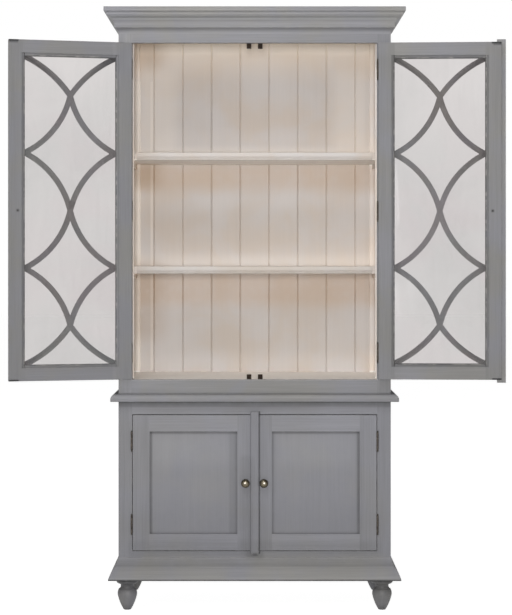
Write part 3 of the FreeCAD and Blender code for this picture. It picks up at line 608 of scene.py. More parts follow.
# Where the lower doors' panels, the middles of the doors, the insides of the upper sides and the upper
# knobs' screw ends are.
PANEL_FACE = -206 * MM
PANEL_MIDDLE = 466.5 * MM
UPPER_MIDDLE = 1455.75 * MM
SIDE_FACE = 476 * MM
CREAM = paint_chip(216, 207, 198)
# light grey for painted light in shaded gaps and creases and on tops that face the light
PAINTED_LIGHT_GREY = paint_chip(225, 225, 225)
SCREW_LEFT: Place = (-0.8455, -0.3375, 1.45575)
SCREW_RIGHT: Place = (0.8600, -0.2669, 1.45575)
SCREW_BLACK = paint_chip(26, 25, 24)
# Painted shade, painted shadow and painted light laid on the grey paint, with the dark marks round the screw
# ends and strikes and the cream insides of the upper sides.
GREY_PAINTED_LIGHT_AND_MARKS = (
    # painted shade in the recesses round the lower doors' panels and in soft bands inside their side edges;
    # the panels are also darker towards the bottom and lighter towards the top
    ShadeAndStain((0.2228, PANEL_FACE, 0.6520), (0.164, 0.0, 0.0035), 8.5 * MM, 0.48),
    ShadeAndStain((0.2228, PANEL_FACE, 0.2805), (0.160, 0.0, 0.001), 8.5 * MM, 0.16),
    ShadeAndStain((0.2228, PANEL_FACE, 0.2900), (0.160, 0.0, 0.020), 0.13, 0.10),
    ShadeAndStain((0.2228, PANEL_FACE, 0.5850), (0.110, 0.0, 0.020), 70 * MM, 0.05, PAINTED_LIGHT_GREY),
    ShadeAndStain((0.3815, PANEL_FACE, PANEL_MIDDLE), (0.0035, 0.0, 0.188), 8.5 * MM, 0.46),
    ShadeAndStain((0.3830, PANEL_FACE, PANEL_MIDDLE), (0.004, 0.0, 0.188), 18 * MM, 0.14, both=False),
    ShadeAndStain((0.0640, PANEL_FACE, PANEL_MIDDLE), (0.002, 0.0, 0.188), 8.5 * MM, 0.24),
    ShadeAndStain((-0.0760, PANEL_FACE, PANEL_MIDDLE), (0.012, 0.0, 0.190), 10 * MM, 0.17, both=False),
    ShadeAndStain((0.0640, -0.190, PANEL_MIDDLE), (0.001, 0.0, 0.190), 24 * MM, 0.34),
    # painted shade round the meeting edges of the lower doors, a painted shadow line beside their strip and
    # painted shadow under the strip's lower end
    ShadeAndStain((0.0, -0.2195, PANEL_MIDDLE), (0.016, 0.006, 0.260), 30 * MM, 0.09),
    ShadeAndStain((-0.0280, -0.2170, 0.380), (0.009, 0.004, 0.170), 26 * MM, 0.14, both=False),
    ShadeAndStain((0.0172, -0.2160, PANEL_MIDDLE), (0.0015, 0.003, 0.259), 2.2 * MM, 0.80, both=False),
    ShadeAndStain((0.0, -0.2155, 0.204), (0.024, 0.001, 0.003), 18 * MM, 0.22),
    ShadeAndStain((0.002, -0.2155, 0.206), (0.004, 0.010, 0.002), 8 * MM, 0.55, both=False),
    # painted shadow under the waist board's overhang, painted shade on the underside of its nose and along
    # the joint over it, and painted light on its top
    ShadeAndStain((0.0, -0.215, 0.7625), (0.500, 0.001, 0.0005), 30 * MM, 0.50),
    ShadeAndStain((0.0, -0.215, 0.7545), (0.500, 0.001, 0.0085), 6 * MM, 0.20),
    ShadeAndStain((0.0, -0.215, 0.7625), (0.500, 0.001, 0.0005), 6 * MM, 0.88),
    ShadeAndStain((0.0, -0.215, 0.7905), (0.500, 0.001, 0.0005), 5.5 * MM, 0.40),
    ShadeAndStain((0.0, 0.0, 0.767), (0.600, 0.300, 0.003), 10 * MM, 0.16),
    ShadeAndStain((0.0, 0.0, 0.783), (0.600, 0.300, 0.002), 7 * MM, 0.10, PAINTED_LIGHT_GREY),
    # painted shade on the base moulding's cove and along its lower edge, and across the lower doors' bottoms
    # and the bottom rail
    ShadeAndStain((0.0, 0.0, 0.178), (0.600, 0.300, 0.012), 6 * MM, 0.28),
    ShadeAndStain((0.0, 0.0, 0.113), (0.600, 0.300, 0.0045), 5 * MM, 0.90),
    ShadeAndStain((0.0, -0.215, 0.226), (0.440, 0.002, 0.010), 34 * MM, 0.17),
    # painted shade on the feet: under the base moulding, at their bottoms, over the whole right front foot,
    # and on the back feet under the cabinet
    ShadeAndStain((0.466, -0.185, 0.050), (0.060, 0.060, 0.050), 16 * MM, 0.34),
    ShadeAndStain((0.466, -0.185, 0.101), (0.045, 0.045, 0.013), 12 * MM, 0.55),
    ShadeAndStain((0.466, -0.185, 0.050), (0.060, 0.060, 0.050), 16 * MM, 0.13, both=False),
    ShadeAndStain((0.466, -0.185, 0.000), (0.020, 0.020, 0.004), 26 * MM, 0.45),
    ShadeAndStain((0.466, 0.175, 0.060), (0.060, 0.060, 0.060), 16 * MM, 0.50),
    # painted shade under the cornice and painted light in the shade under its top fillet
    ShadeAndStain((0.0, 0.0, 2.124), (0.600, 0.300, 0.004), 18 * MM, 0.10),
    ShadeAndStain((0.0, 0.0, 2.157), (0.600, 0.300, 0.003), 6 * MM, 0.22, PAINTED_LIGHT_GREY),
    # painted shade on the left upper door's free stile and down the middle of the right upper stile, and
    # faint painted light on the left upper stile
    ShadeAndStain((-0.8600, -0.335, 1.456), (0.016, 0.020, 0.640), 20 * MM, 0.10, both=False),
    ShadeAndStain((0.4700, -0.210, 1.440), (0.026, 0.010, 0.560), 60 * MM, 0.17, both=False),
    ShadeAndStain((-0.4780, -0.245, 1.456), (0.030, 0.030, 0.640), 10 * MM, 0.03, PAINTED_LIGHT_GREY, both=False),
    # round the screw ends and the strikes on the insides of the upper doors
    ShadeAndStain(SCREW_LEFT, (0.001, 0.001, 0.001), 7 * MM, 1.0, both=False),
    ShadeAndStain(SCREW_RIGHT, (0.001, 0.001, 0.001), 7 * MM, 1.0, both=False),
    ShadeAndStain((-0.8600, -0.3370, 2.0585), (0.013, 0.010, 0.001), 5 * MM, 0.60, both=False),
    ShadeAndStain((0.8770, -0.2640, 2.0585), (0.012, 0.006, 0.001), 5 * MM, 0.60, both=False),
    # painted light on the shaded walls of the gaps round the lower doors and on the top edge of the upper
    # case's bottom rail, and the cream paint on the insides of the upper sides
    ShadeAndStain((0.4455, -0.203, PANEL_MIDDLE), (0.0012, 0.0095, 0.247), 1 * MM, 0.80, PAINTED_LIGHT_GREY),
    ShadeAndStain((-0.4455, -0.203, PANEL_MIDDLE), (0.0012, 0.0095, 0.247), 1 * MM, 0.85, PAINTED_LIGHT_GREY, both=False),
    ShadeAndStain((0.0, -0.203, 0.7145), (0.4465, 0.0095, 0.0017), 1 * MM, 0.60, PAINTED_LIGHT_GREY),
    ShadeAndStain((0.0, -0.203, 0.2185), (0.4465, 0.0095, 0.0017), 1 * MM, 0.90, PAINTED_LIGHT_GREY),
    ShadeAndStain((0.0, -0.200, 0.8425), (0.447, 0.020, 0.0005), 2.5 * MM, 0.40, PAINTED_LIGHT_GREY),
    ShadeAndStain((SIDE_FACE - 0.001, 0.005, 1.4865), (0.002, 0.197, 0.643), 1 * MM, 1.0, CREAM, even=True),
)
# colours for painted shadow, painted shade and painted light on the cream paint
WARM_PAINTED_SHADOW = paint_chip(200, 172, 144)
BROWN_PAINTED_SHADOW = paint_chip(168, 138, 104)
PAINTED_SHADE_CREAM = paint_chip(150, 140, 128)
PAINTED_LIGHT_CREAM = paint_chip(250, 240, 228)
BRIGHT_PAINTED_LIGHT_CREAM = paint_chip(255, 251, 245)
CREAM_PAINTED_LIGHT_AND_WASH = (
    # painted light and shade on the back boards: warm painted light under the ceiling, warm painted shadow
    # under each shelf, painted shade in the bays' middles, and painted light just over each shelf and near
    # both sides of the upper bay
    ShadeAndStain((0.0, 0.203, 2.110), (0.480, 0.020, 0.010), 0.16, 0.62, paint_chip(243, 227, 208), even=True),
    ShadeAndStain((0.0, 0.203, 2.112), (0.480, 0.020, 0.006), 0.04, 0.55, paint_chip(255, 248, 236), even=True),
    ShadeAndStain((0.0, 0.203, 1.600), (0.480, 0.020, 0.014), 0.07, 0.44, WARM_PAINTED_SHADOW),
    ShadeAndStain((0.0, 0.203, 1.165), (0.480, 0.020, 0.030), 0.07, 0.52, WARM_PAINTED_SHADOW),
    ShadeAndStain((0.0, 0.203, 1.400), (0.480, 0.020, 0.040), 0.08, 0.14, PAINTED_SHADE_CREAM, even=True),
    ShadeAndStain((0.0, 0.203, 1.000), (0.480, 0.020, 0.060), 0.07, 0.12, PAINTED_SHADE_CREAM, even=True),
    ShadeAndStain((0.0, 0.203, 1.680), (0.480, 0.020, 0.002), 0.05, 0.42, PAINTED_LIGHT_CREAM, even=True),
    ShadeAndStain((0.0, 0.203, 1.262), (0.480, 0.010, 0.004), 0.05, 0.26, PAINTED_LIGHT_CREAM, even=True),
    ShadeAndStain((0.372, 0.203, 1.860), (0.030, 0.006, 0.120), 0.07, 0.30, PAINTED_LIGHT_CREAM, even=True),
    # painted light on the low shelf's top, the high shelf's underside and the upper floor board, and painted
    # shade on the shelves' front edges
    ShadeAndStain((0.0, 0.045, 1.2545), (0.480, 0.150, 0.001), 0.004, 0.30, PAINTED_LIGHT_CREAM, even=True),
    ShadeAndStain((0.0, 0.040, 1.6475), (0.480, 0.145, 0.001), 0.004, 0.95, BRIGHT_PAINTED_LIGHT_CREAM, even=True),
    ShadeAndStain((0.0, -0.1155, 1.653), (0.480, 0.002, 0.005), 0.004, 0.40, PAINTED_SHADE_CREAM),
    ShadeAndStain((0.0, -0.1155, 1.232), (0.480, 0.002, 0.005), 0.004, 0.55, PAINTED_SHADE_CREAM),
    ShadeAndStain((0.0, -0.1155, 1.249), (0.480, 0.004, 0.010), 0.004, 0.12, PAINTED_SHADE_CREAM),
    ShadeAndStain((0.0, -0.010, 0.844), (0.480, 0.195, 0.002), 0.003, 0.95, BRIGHT_PAINTED_LIGHT_CREAM, even=True),
    # painted light on the shaded left uprights and the back boards beside them, and painted shade at the
    # right upright
    ShadeAndStain((-0.463, 0.060, 1.410), (0.016, 0.150, 0.560), 0.005, 0.75, PAINTED_LIGHT_CREAM, both=False, even=True),
    ShadeAndStain((-0.401, 0.203, 1.410), (0.003, 0.006, 0.560), 0.004, 0.30, PAINTED_LIGHT_CREAM, both=False, even=True),
    ShadeAndStain((0.455, 0.000, 1.480), (0.020, 0.200, 0.660), 0.010, 0.10, PAINTED_SHADE_CREAM, both=False),
    # painted shadow in the bays' left corners, and the plain paint on the outside of the back
    ShadeAndStain((-0.450, 0.200, 2.110), (0.050, 0.050, 0.040), 0.08, 0.36, BROWN_PAINTED_SHADOW, both=False),
    ShadeAndStain((-0.440, 0.200, 1.610), (0.030, 0.050, 0.010), 0.08, 0.44, BROWN_PAINTED_SHADOW, both=False),
    ShadeAndStain((-0.420, 0.200, 1.120), (0.020, 0.050, 0.100), 0.10, 0.36, BROWN_PAINTED_SHADOW, both=False),
    ShadeAndStain((0.0, 0.2165, 1.460), (0.600, 0.0025, 0.700), 0.001, 0.88, paint_chip(196, 188, 179)),
)
# both paints carry the painted light and painted shade listed above as well as their real wear
GREY_PAINT = BrushedPaint(
    "grey_paint_aged", body=paint_chip(141, 140, 141), warm=paint_chip(144, 142, 138),
    cool=paint_chip(137, 137, 144), rubbed=paint_chip(166, 163, 158), streak=0.27, cloud=0.14,
    shades_and_stains=GREY_PAINTED_LIGHT_AND_MARKS, chilled=(0.205, 0.750))
CREAM_PAINT = BrushedPaint(
    "cream_paint_aged", body=paint_chip(212, 203, 195), warm=paint_chip(213, 200, 188),
    cool=paint_chip(211, 205, 202), rubbed=paint_chip(226, 220, 213), rub=0.35,
    streak=0.05, cloud=0.05, rough=0.5, shades_and_stains=CREAM_PAINTED_LIGHT_AND_WASH)
KNOB_BRASS = OldBrass(
    "knob_brass_aged", bright=paint_chip(120, 112, 94), dark=paint_chip(78, 71, 58),
    bright_share=0.6, rough=0.24, spots=(
        # a painted highlight on the fronts of the lower knobs, then the dark ends of the upper knobs' screws
        ShadeAndStain((0.0350, -0.243, 0.4685), (0.0005, 0.002, 0.0005), 4.2 * MM, 0.66, paint_chip(226, 220, 208)),
        ShadeAndStain(SCREW_LEFT, (0.004, 0.004, 0.004), 4 * MM, 0.90, SCREW_BLACK, both=False),
        ShadeAndStain(SCREW_RIGHT, (0.004, 0.004, 0.004), 4 * MM, 0.97, SCREW_BLACK, both=False)))
HINGE_BRONZE = OldBrass("hinge_bronze_dark", bright=paint_chip(86, 79, 72), dark=paint_chip(44, 41, 38),
                        bright_share=0.35, rough=0.42, metal=0.9)
STRIKE_STEEL = OldBrass("strike_steel_black", bright=paint_chip(44, 44, 45), dark=paint_chip(14, 14, 15),
                        bright_share=0.25, rough=0.5, metal=0.5)
CATCH_BROWN = MouldedPlastic("catch_plastic_brown", body=paint_chip(44, 34, 27), dust=paint_chip(74, 63, 54))
PANE_GLASS = WindowGlass("pane_glass_old", clear=(0.840, 0.824, 0.820, 1.0), pink=paint_chip(214, 204, 206),
                         green=paint_chip(205, 208, 207))

# How much lighter or darker than the usual paint each piece is painted: painted shade on pieces that get less
# light, such as the doors, beads, stiles and rails, and painted light on the cornice, which gets more light,
# and on the shelf uprights and upper floor board, which lie in shade yet show bright.
LIGHT_AND_SHADE_TONES = {
    "cap_board": 0.03, "cornice_front": 0.01, "cornice_returns": 0.01, "upper_top_rail": -0.15,
    "upper_stile_left": -0.07, "upper_stile_right": -0.17, "upper_bottom_rail": -0.14, "waist_board": -0.02,
    "lower_top_rail": -0.09, "lower_stile_left": -0.22, "lower_stile_right": -0.21,
    "lower_bottom_rail": -0.19, "lower_door_left_stiles": -0.11, "lower_door_right_stiles": -0.15,
    "lower_door_left_rails": -0.06,
    "lower_door_right_rails": -0.07, "lower_door_left_panel": -0.10, "lower_door_right_panel": -0.09,
    "lower_door_left_astragal": -0.15, "upper_door_left_stiles": -0.33, "upper_door_left_rails": -0.32,
    "upper_door_right_stiles": -0.23, "upper_door_right_rails": -0.13, "upper_door_left_beads": -0.50,
    "upper_door_right_beads": -0.52, "upper_door_left_lattice": 0.04, "upper_door_right_lattice": 0.12,
    "shelf_supports": 0.36, "upper_floor_board": 0.50,
}

# How much weaker a panel's brush marks are than those of the other pieces.
PANEL_CALM = 0.55

# Painted shade where a lattice's bars end at the stiles, and how far it reaches.
LATTICE_END_SHADE = 0.80
LATTICE_REACH = 32 * MM

FINISHES = {"grey_paint": GREY_PAINT, "cream_paint": CREAM_PAINT, "knob_brass": KNOB_BRASS,
            "hinge_bronze": HINGE_BRONZE, "strike_steel": STRIKE_STEEL, "catch_brown": CATCH_BROWN,
            "glass": PANE_GLASS}


class Hand(Enum):
    """Side of the cabinet, as seen from the front."""

    LEFT = -1
    RIGHT = 1


class Tier(Enum):
    """Which of the two cases."""

    UPPER = "upper"
    LOWER = "lower"


class Workshop:
    """The finishes as made, what each node's slot and body are, and the solids round a place."""

    def __init__(self) -> None:
        """Makes every finish and reads the frame's bodies, slots and solids."""
        self.finishes = {slot: finish.make() for slot, finish in FINISHES.items()}
        record = frame["record"]
        self.slots = {part["node"]: part["material_slot"] for part in record["subparts"]}
        self.bodies = {node: body for body, nodes in record["behaviour"]["bodies"].items() for node in nodes}
        self.shells: dict[str, list[int]] = {}
        self.solids: list[tuple[str, int, BVHTree, Vector, Vector]] = []
        for name, node in frame["nodes"].items():
            self.add_solids(name, node.data)

    def add_solids(self, name: str, mesh: bpy.types.Mesh) -> None:
        """Splits a node into its closed solids and keeps each for the touch tests.

        Args:
            name: the node.
            mesh: its mesh.
        """
        self.shells[name] = shells = closed_shells(mesh)
        for number in range(max(shells) + 1):
            faces = [face.vertices[:] for face, shell in zip(mesh.polygons, shells) if shell == number]
            used = sorted({corner for face in faces for corner in face})
            spot = {old: new for new, old in enumerate(used)}
            points = [mesh.vertices[old].co.copy() for old in used]
            tree = BVHTree.FromPolygons(points, [[spot[corner] for corner in face] for face in faces])
            low = Vector([min(point[axis] for point in points) for axis in range(3)])
            high = Vector([max(point[axis] for point in points) for axis in range(3)])
            self.solids.append((name, number, tree, low, high))

    def free(self, place: Vector, reach: float, name: str, shell: int) -> bool:
        """Whether a place is clear of every solid but its own.

        Args:
            place: where.
            reach: how near counts as touching.
            name, shell: the solid that the place belongs to.

        Returns:
            True where nothing else is within reach.
        """
        for other, number, tree, low, high in self.solids:
            if other == name and number == shell:
                continue
            if any(place[axis] < low[axis] - reach or place[axis] > high[axis] + reach for axis in range(3)):
                continue
            if tree.find_nearest(place, reach)[0] is not None:
                return False
        return True

    def finish(self, piece: bpy.types.Object, body: str, slot: str, nodes: Sequence[str] = ()) -> None:
        """Paints a piece, hangs it on its body and hides the nodes it replaces.

        Args:
            piece: the piece.
            body: the body that carries it.
            slot: the record's material slot.
            nodes: CAD nodes that it replaces.
        """
        piece.data.materials.clear()
        piece.data.materials.append(self.finishes[slot])
        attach(piece, body)
        if nodes:
            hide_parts(*nodes)
        LOG.info("%s on %s, %d faces, finish %s", piece.name, body, len(piece.data.polygons), slot)


def closed_shells(mesh: bpy.types.Mesh) -> list[int]:
    """Number of the closed solid that each face belongs to; a solid's faces follow each other.

    Args:
        mesh: a CAD node's mesh.

    Returns:
        One number for each face.
    """
    number, waiting, numbers = 0, {}, []
    spots = [tuple(round(value * 1e6) for value in vertex.co) for vertex in mesh.vertices]
    for face in mesh.polygons:
        corners = [spots[index] for index in face.vertices]
        for edge in zip(corners, corners[1:] + corners[:1]):
            back = edge[::-1]
            if waiting.get(back):
                waiting[back] -= 1
                if not waiting[back]:
                    del waiting[back]
            else:
                waiting[edge] = waiting.get(edge, 0) + 1
        numbers.append(number)
        if not waiting:
            number += 1
    return numbers


# Bench work in edit mode

def hold(piece: bpy.types.Object) -> None:
    """Selects one piece alone and makes it the active one."""
    bpy.ops.object.select_all(action="DESELECT")
    piece.select_set(True)
    bpy.context.view_layer.objects.active = piece


@contextmanager
def bench(piece: bpy.types.Object, mode: str = "FACE") -> Iterator[None]:
    """Opens a piece in edit mode with nothing selected, and closes it again.

    Args:
        piece: the piece.
        mode: what is selected: VERT, EDGE or FACE.
    """
    hold(piece)
    bpy.ops.object.mode_set(mode="EDIT")
    bpy.ops.mesh.select_mode(type=mode)
    bpy.ops.mesh.select_all(action="DESELECT")
    try:
        yield
    finally:
        bpy.ops.object.mode_set(mode="OBJECT")


def pick(kind: str, test: Callable) -> int:
    """Selects what passes a test, and nothing else, on the piece that is open.

    Args:
        kind: verts, edges or faces.
        test: takes one of them, says whether it's wanted.

    Returns:
        How many are selected.
    """
    bpy.ops.mesh.select_all(action="DESELECT")
    mesh = bpy.context.edit_object.data
    draft = bmesh.from_edit_mesh(mesh)
    draft.normal_update()
    wanted = [item for item in getattr(draft, kind) if test(item)]
    for item in wanted:
        item.select_set(True)
    bmesh.update_edit_mesh(mesh)
    return len(wanted)


def own_mesh_copy(source: bpy.types.Object, name: str) -> bpy.types.Object:
    """A copy of an object with a mesh of its own, at the origin and on its own.

    Args:
        source: what is copied.
        name: the copy's name.

    Returns:
        The copy.
    """
    copy = bpy.data.objects.new(name, source.data.copy())
    copy.data.name = name
    bpy.context.scene.collection.objects.link(copy)
    return copy


def joined(pieces: Sequence[bpy.types.Object], name: str) -> bpy.types.Object:
    """Several pieces made one.

    Args:
        pieces: the pieces; the first takes in the others.
        name: the new piece's name.

    Returns:
        The piece.
    """
    bpy.ops.object.select_all(action="DESELECT")
    for piece in pieces:
        piece.select_set(True)
    bpy.context.view_layer.objects.active = pieces[0]
    if len(pieces) > 1:
        bpy.ops.object.join()
    pieces[0].name = name
    return pieces[0]


def apply_modifier(piece: bpy.types.Object, kind: str, settings: dict) -> None:
    """Adds a modifier and applies it.

    Args:
        piece: the piece.
        kind: the modifier's type.
        settings: its settings.
    """
    hold(piece)
    modifier = piece.modifiers.new(kind.lower(), kind)
    for key, value in settings.items():
        setattr(modifier, key, value)
    bpy.ops.object.modifier_apply(modifier=modifier.name)


def smooth(piece: bpy.types.Object, angle: float = 50.0) -> None:
    """Rounds the shading over shallow edges and keeps flat faces flat.

    Args:
        piece: the piece.
        angle: edges sharper than this, in degrees, stay sharp.
    """
    hold(piece)
    bpy.ops.object.shade_smooth_by_angle(angle=math.radians(angle))
    apply_modifier(piece, "WEIGHTED_NORMAL", {"keep_sharp": True, "weight": 90})


def mark_grain(piece: bpy.types.Object, turn: float = 0.0, pin: Place = ORIGIN, seed: int = 0) -> None:
    """Writes where each point lies along and across its own board, each board with its own figure.

    Args:
        piece: the piece, whose boards aren't joined to each other.
        turn: degrees that the board's body is turned about the pin.
        pin: the pin's place.
        seed: moves the figure.
    """
    mesh = piece.data
    back = Matrix.Rotation(-math.radians(turn), 4, "Z") @ Matrix.Translation(-Vector(pin))
    places = [back @ vertex.co for vertex in mesh.vertices]
    island = list(range(len(places)))

    def root(index: int) -> int:
        """The lowest point that an index is joined to."""
        while island[index] != index:
            island[index] = island[island[index]]
            index = island[index]
        return index

    for edge in mesh.edges:
        first, second = (root(index) for index in edge.vertices)
        island[max(first, second)] = min(first, second)
    groups: dict[int, list[int]] = {}
    for index in range(len(places)):
        groups.setdefault(root(index), []).append(index)
    values = [0.0] * (3 * len(places))
    for number, members in enumerate(groups.values()):
        spans = [max(places[i][axis] for i in members) - min(places[i][axis] for i in members)
                 for axis in range(3)]
        order = sorted(range(3), key=lambda axis: -spans[axis])
        shift = ((seed * 5 + number * 3) % 97 * 1.37, (seed * 7 + number) % 89 * 0.61, number % 83 * 0.43)
        for i in members:
            for slot, axis in enumerate(order):
                values[3 * i + slot] = places[i][axis] + shift[slot]
    layer = mesh.attributes.new("grain", "FLOAT_VECTOR", "POINT")
    layer.data.foreach_set("vector", values)


def mark_light_tone(piece: bpy.types.Object, node: str, pin: Place) -> None:
    """Writes how much lighter or darker each point is painted, as painted light and painted shade, darkest
    where a lattice's bars end at the stiles, and how calm a panel's brush marks are.

    Args:
        piece: the piece.
        node: the node that it stands for.
        pin: what its body turns about.
    """
    mesh = piece.data
    tones = [LIGHT_AND_SHADE_TONES.get(node, 0.0)] * len(mesh.vertices)
    if node.endswith("_lattice"):
        along = [math.dist(corner.co.xy, pin[:2]) for corner in mesh.vertices]
        low, high = min(along), max(along)
        near = [min(spot - low, high - spot) for spot in along]
        tones = [tone - LATTICE_END_SHADE * max(0.0, 1.0 - gap / LATTICE_REACH) for tone, gap in zip(tones, near)]
    mesh.attributes.new("tone", "FLOAT", "POINT").data.foreach_set("value", tones)
    if node.endswith("_panel"):
        calm = mesh.attributes.new("calm", "FLOAT", "POINT")
        calm.data.foreach_set("value", [PANEL_CALM] * len(mesh.vertices))


@dataclass
class Turning:
    """A turned form: a profile of lines and arcs spun about an upright axis.

    Attributes:
        name: the form's name.
        start: where the profile starts, as shares of radius and length.
        steps: one point for a line, or the middle and the end of an arc.
        radius, length: the form's size.
        sides: faces round it.
        arc_steps: faces along an arc.
    """

    name: str
    start: tuple[float, float]
    steps: list[list[tuple[float, float]]]
    radius: float
    length: float
    sides: int = 48
    arc_steps: int = 8

    def profile(self) -> list[tuple[float, float]]:
        """The profile's points, radius and height in metres, with its arcs followed."""
        points = [self.start]
        for step in self.steps:
            points += [step[0]] if len(step) == 1 else self.arc(points[-1], *step)
        return [(out * self.radius, rise * self.length) for out, rise in points]

    def arc(self, first: tuple[float, float], second: tuple[float, float],
            third: tuple[float, float]) -> list[tuple[float, float]]:
        """Points on the arc from the first through the second to the third.

        Args:
            first, second, third: shares of radius and length.

        Returns:
            The points after the first, as shares.
        """
        a, b, c = [Vector((p[0] * self.radius, p[1] * self.length)) for p in (first, second, third)]
        ab, ac = b - a, c - a
        cross = 2 * (ab.x * ac.y - ab.y * ac.x)
        middle = a + Vector((ac.y * ab.length_squared - ab.y * ac.length_squared,
                             ab.x * ac.length_squared - ac.x * ab.length_squared)) / cross
        angles = [math.atan2(p.y - middle.y, p.x - middle.x) for p in (a, b, c)]
        turn = 1 if cross > 0 else -1
        sweep = (angles[2] - angles[0]) * turn % math.tau * turn
        reach = (a - middle).length
        found = []
        for step in range(1, self.arc_steps + 1):
            angle = angles[0] + sweep * step / self.arc_steps
            found.append(((middle.x + reach * math.cos(angle)) / self.radius,
                          (middle.y + reach * math.sin(angle)) / self.length))
        return found

    def turned(self) -> bpy.types.Object:
        """Extrudes the profile point by point, spins it about Z and closes it.

        Returns:
            The form, standing on the origin.
        """
        points = self.profile()
        bpy.ops.mesh.primitive_plane_add(size=0.002, location=(points[0][0], 0.0, points[0][1]))
        piece = bpy.context.active_object
        piece.name = self.name
        with bench(piece, "VERT"):
            bpy.ops.mesh.select_all(action="SELECT")
            bpy.ops.mesh.merge(type="CENTER")
        bpy.ops.object.transform_apply(location=True, rotation=True, scale=True)
        with bench(piece, "VERT"):
            bpy.ops.mesh.select_all(action="SELECT")
            for (out, rise), (next_out, next_rise) in zip(points, points[1:]):
                bpy.ops.mesh.extrude_region_move(
                    TRANSFORM_OT_translate={"value": (next_out - out, 0.0, next_rise - rise)})
            bpy.ops.mesh.select_all(action="SELECT")
            bpy.ops.mesh.spin(steps=self.sides, angle=math.tau, center=ORIGIN, axis=UP)
            bpy.ops.mesh.select_all(action="SELECT")
            bpy.ops.mesh.remove_doubles(threshold=0.00001)
            bpy.ops.mesh.normals_make_consistent(inside=False)
        return piece


@dataclass
class ScrewHead:
    """A small slotted screw head, let into what it holds.

    Attributes:
        radius: its radius.
        proud, sunk: how far it stands out and how deep it is let in.
        slot: the slot's width.
    """

    radius: float = 2.7 * MM
    proud: float = 0.25 * MM
    sunk: float = 0.6 * MM
    slot: float = 0.75 * MM

    def made(self) -> bpy.types.Object:
        """Models one head at the origin, facing up.

        Returns:
            The head.
        """
        tall = self.proud + self.sunk
        bpy.ops.mesh.primitive_cylinder_add(vertices=20, radius=self.radius, depth=tall,
                                            location=(0.0, 0.0, self.proud - tall / 2))
        head = bpy.context.active_object
        head.name = "screw_head"
        bpy.ops.object.transform_apply(location=True, rotation=True, scale=True)
        with bench(head):
            pick("faces", lambda face: face.normal.z > 0.9)
            bpy.ops.mesh.inset(thickness=self.radius * 0.16, depth=self.proud * 0.35)
            for side in (-0.5, 0.5):
                pick("faces", lambda face: face.normal.z > 0.95)
                bpy.ops.mesh.bisect(plane_co=(0.0, side * self.slot, 0.0), plane_no=(0.0, 1.0, 0.0))
            pick("faces", lambda face: (
                face.normal.z > 0.95 and abs(face.calc_center_median().y) < self.slot * 0.3))
            bpy.ops.mesh.extrude_region_move(TRANSFORM_OT_translate={"value": (0.0, 0.0, -self.sunk)})
        return head


def put(source: bpy.types.Object, place: Vector, facing: Vector, spin: float = 0.0) -> bpy.types.Object:
    """A copy of a small model, turned from up to the way it faces and moved to its place.

    Args:
        source: the model at the origin, facing up.
        place: where it goes.
        facing: which way it faces.
        spin: degrees about its own axis.

    Returns:
        The copy.
    """
    copy = own_mesh_copy(source, source.name)
    turn = Vector(UP).rotation_difference(facing).to_matrix().to_4x4()
    copy.data.transform(Matrix.Translation(place) @ turn @ Matrix.Rotation(math.radians(spin), 4, "Z"))
    return copy


def scrap(piece: bpy.types.Object) -> None:
    """Removes a model that was only copied from."""
    bpy.data.objects.remove(piece)


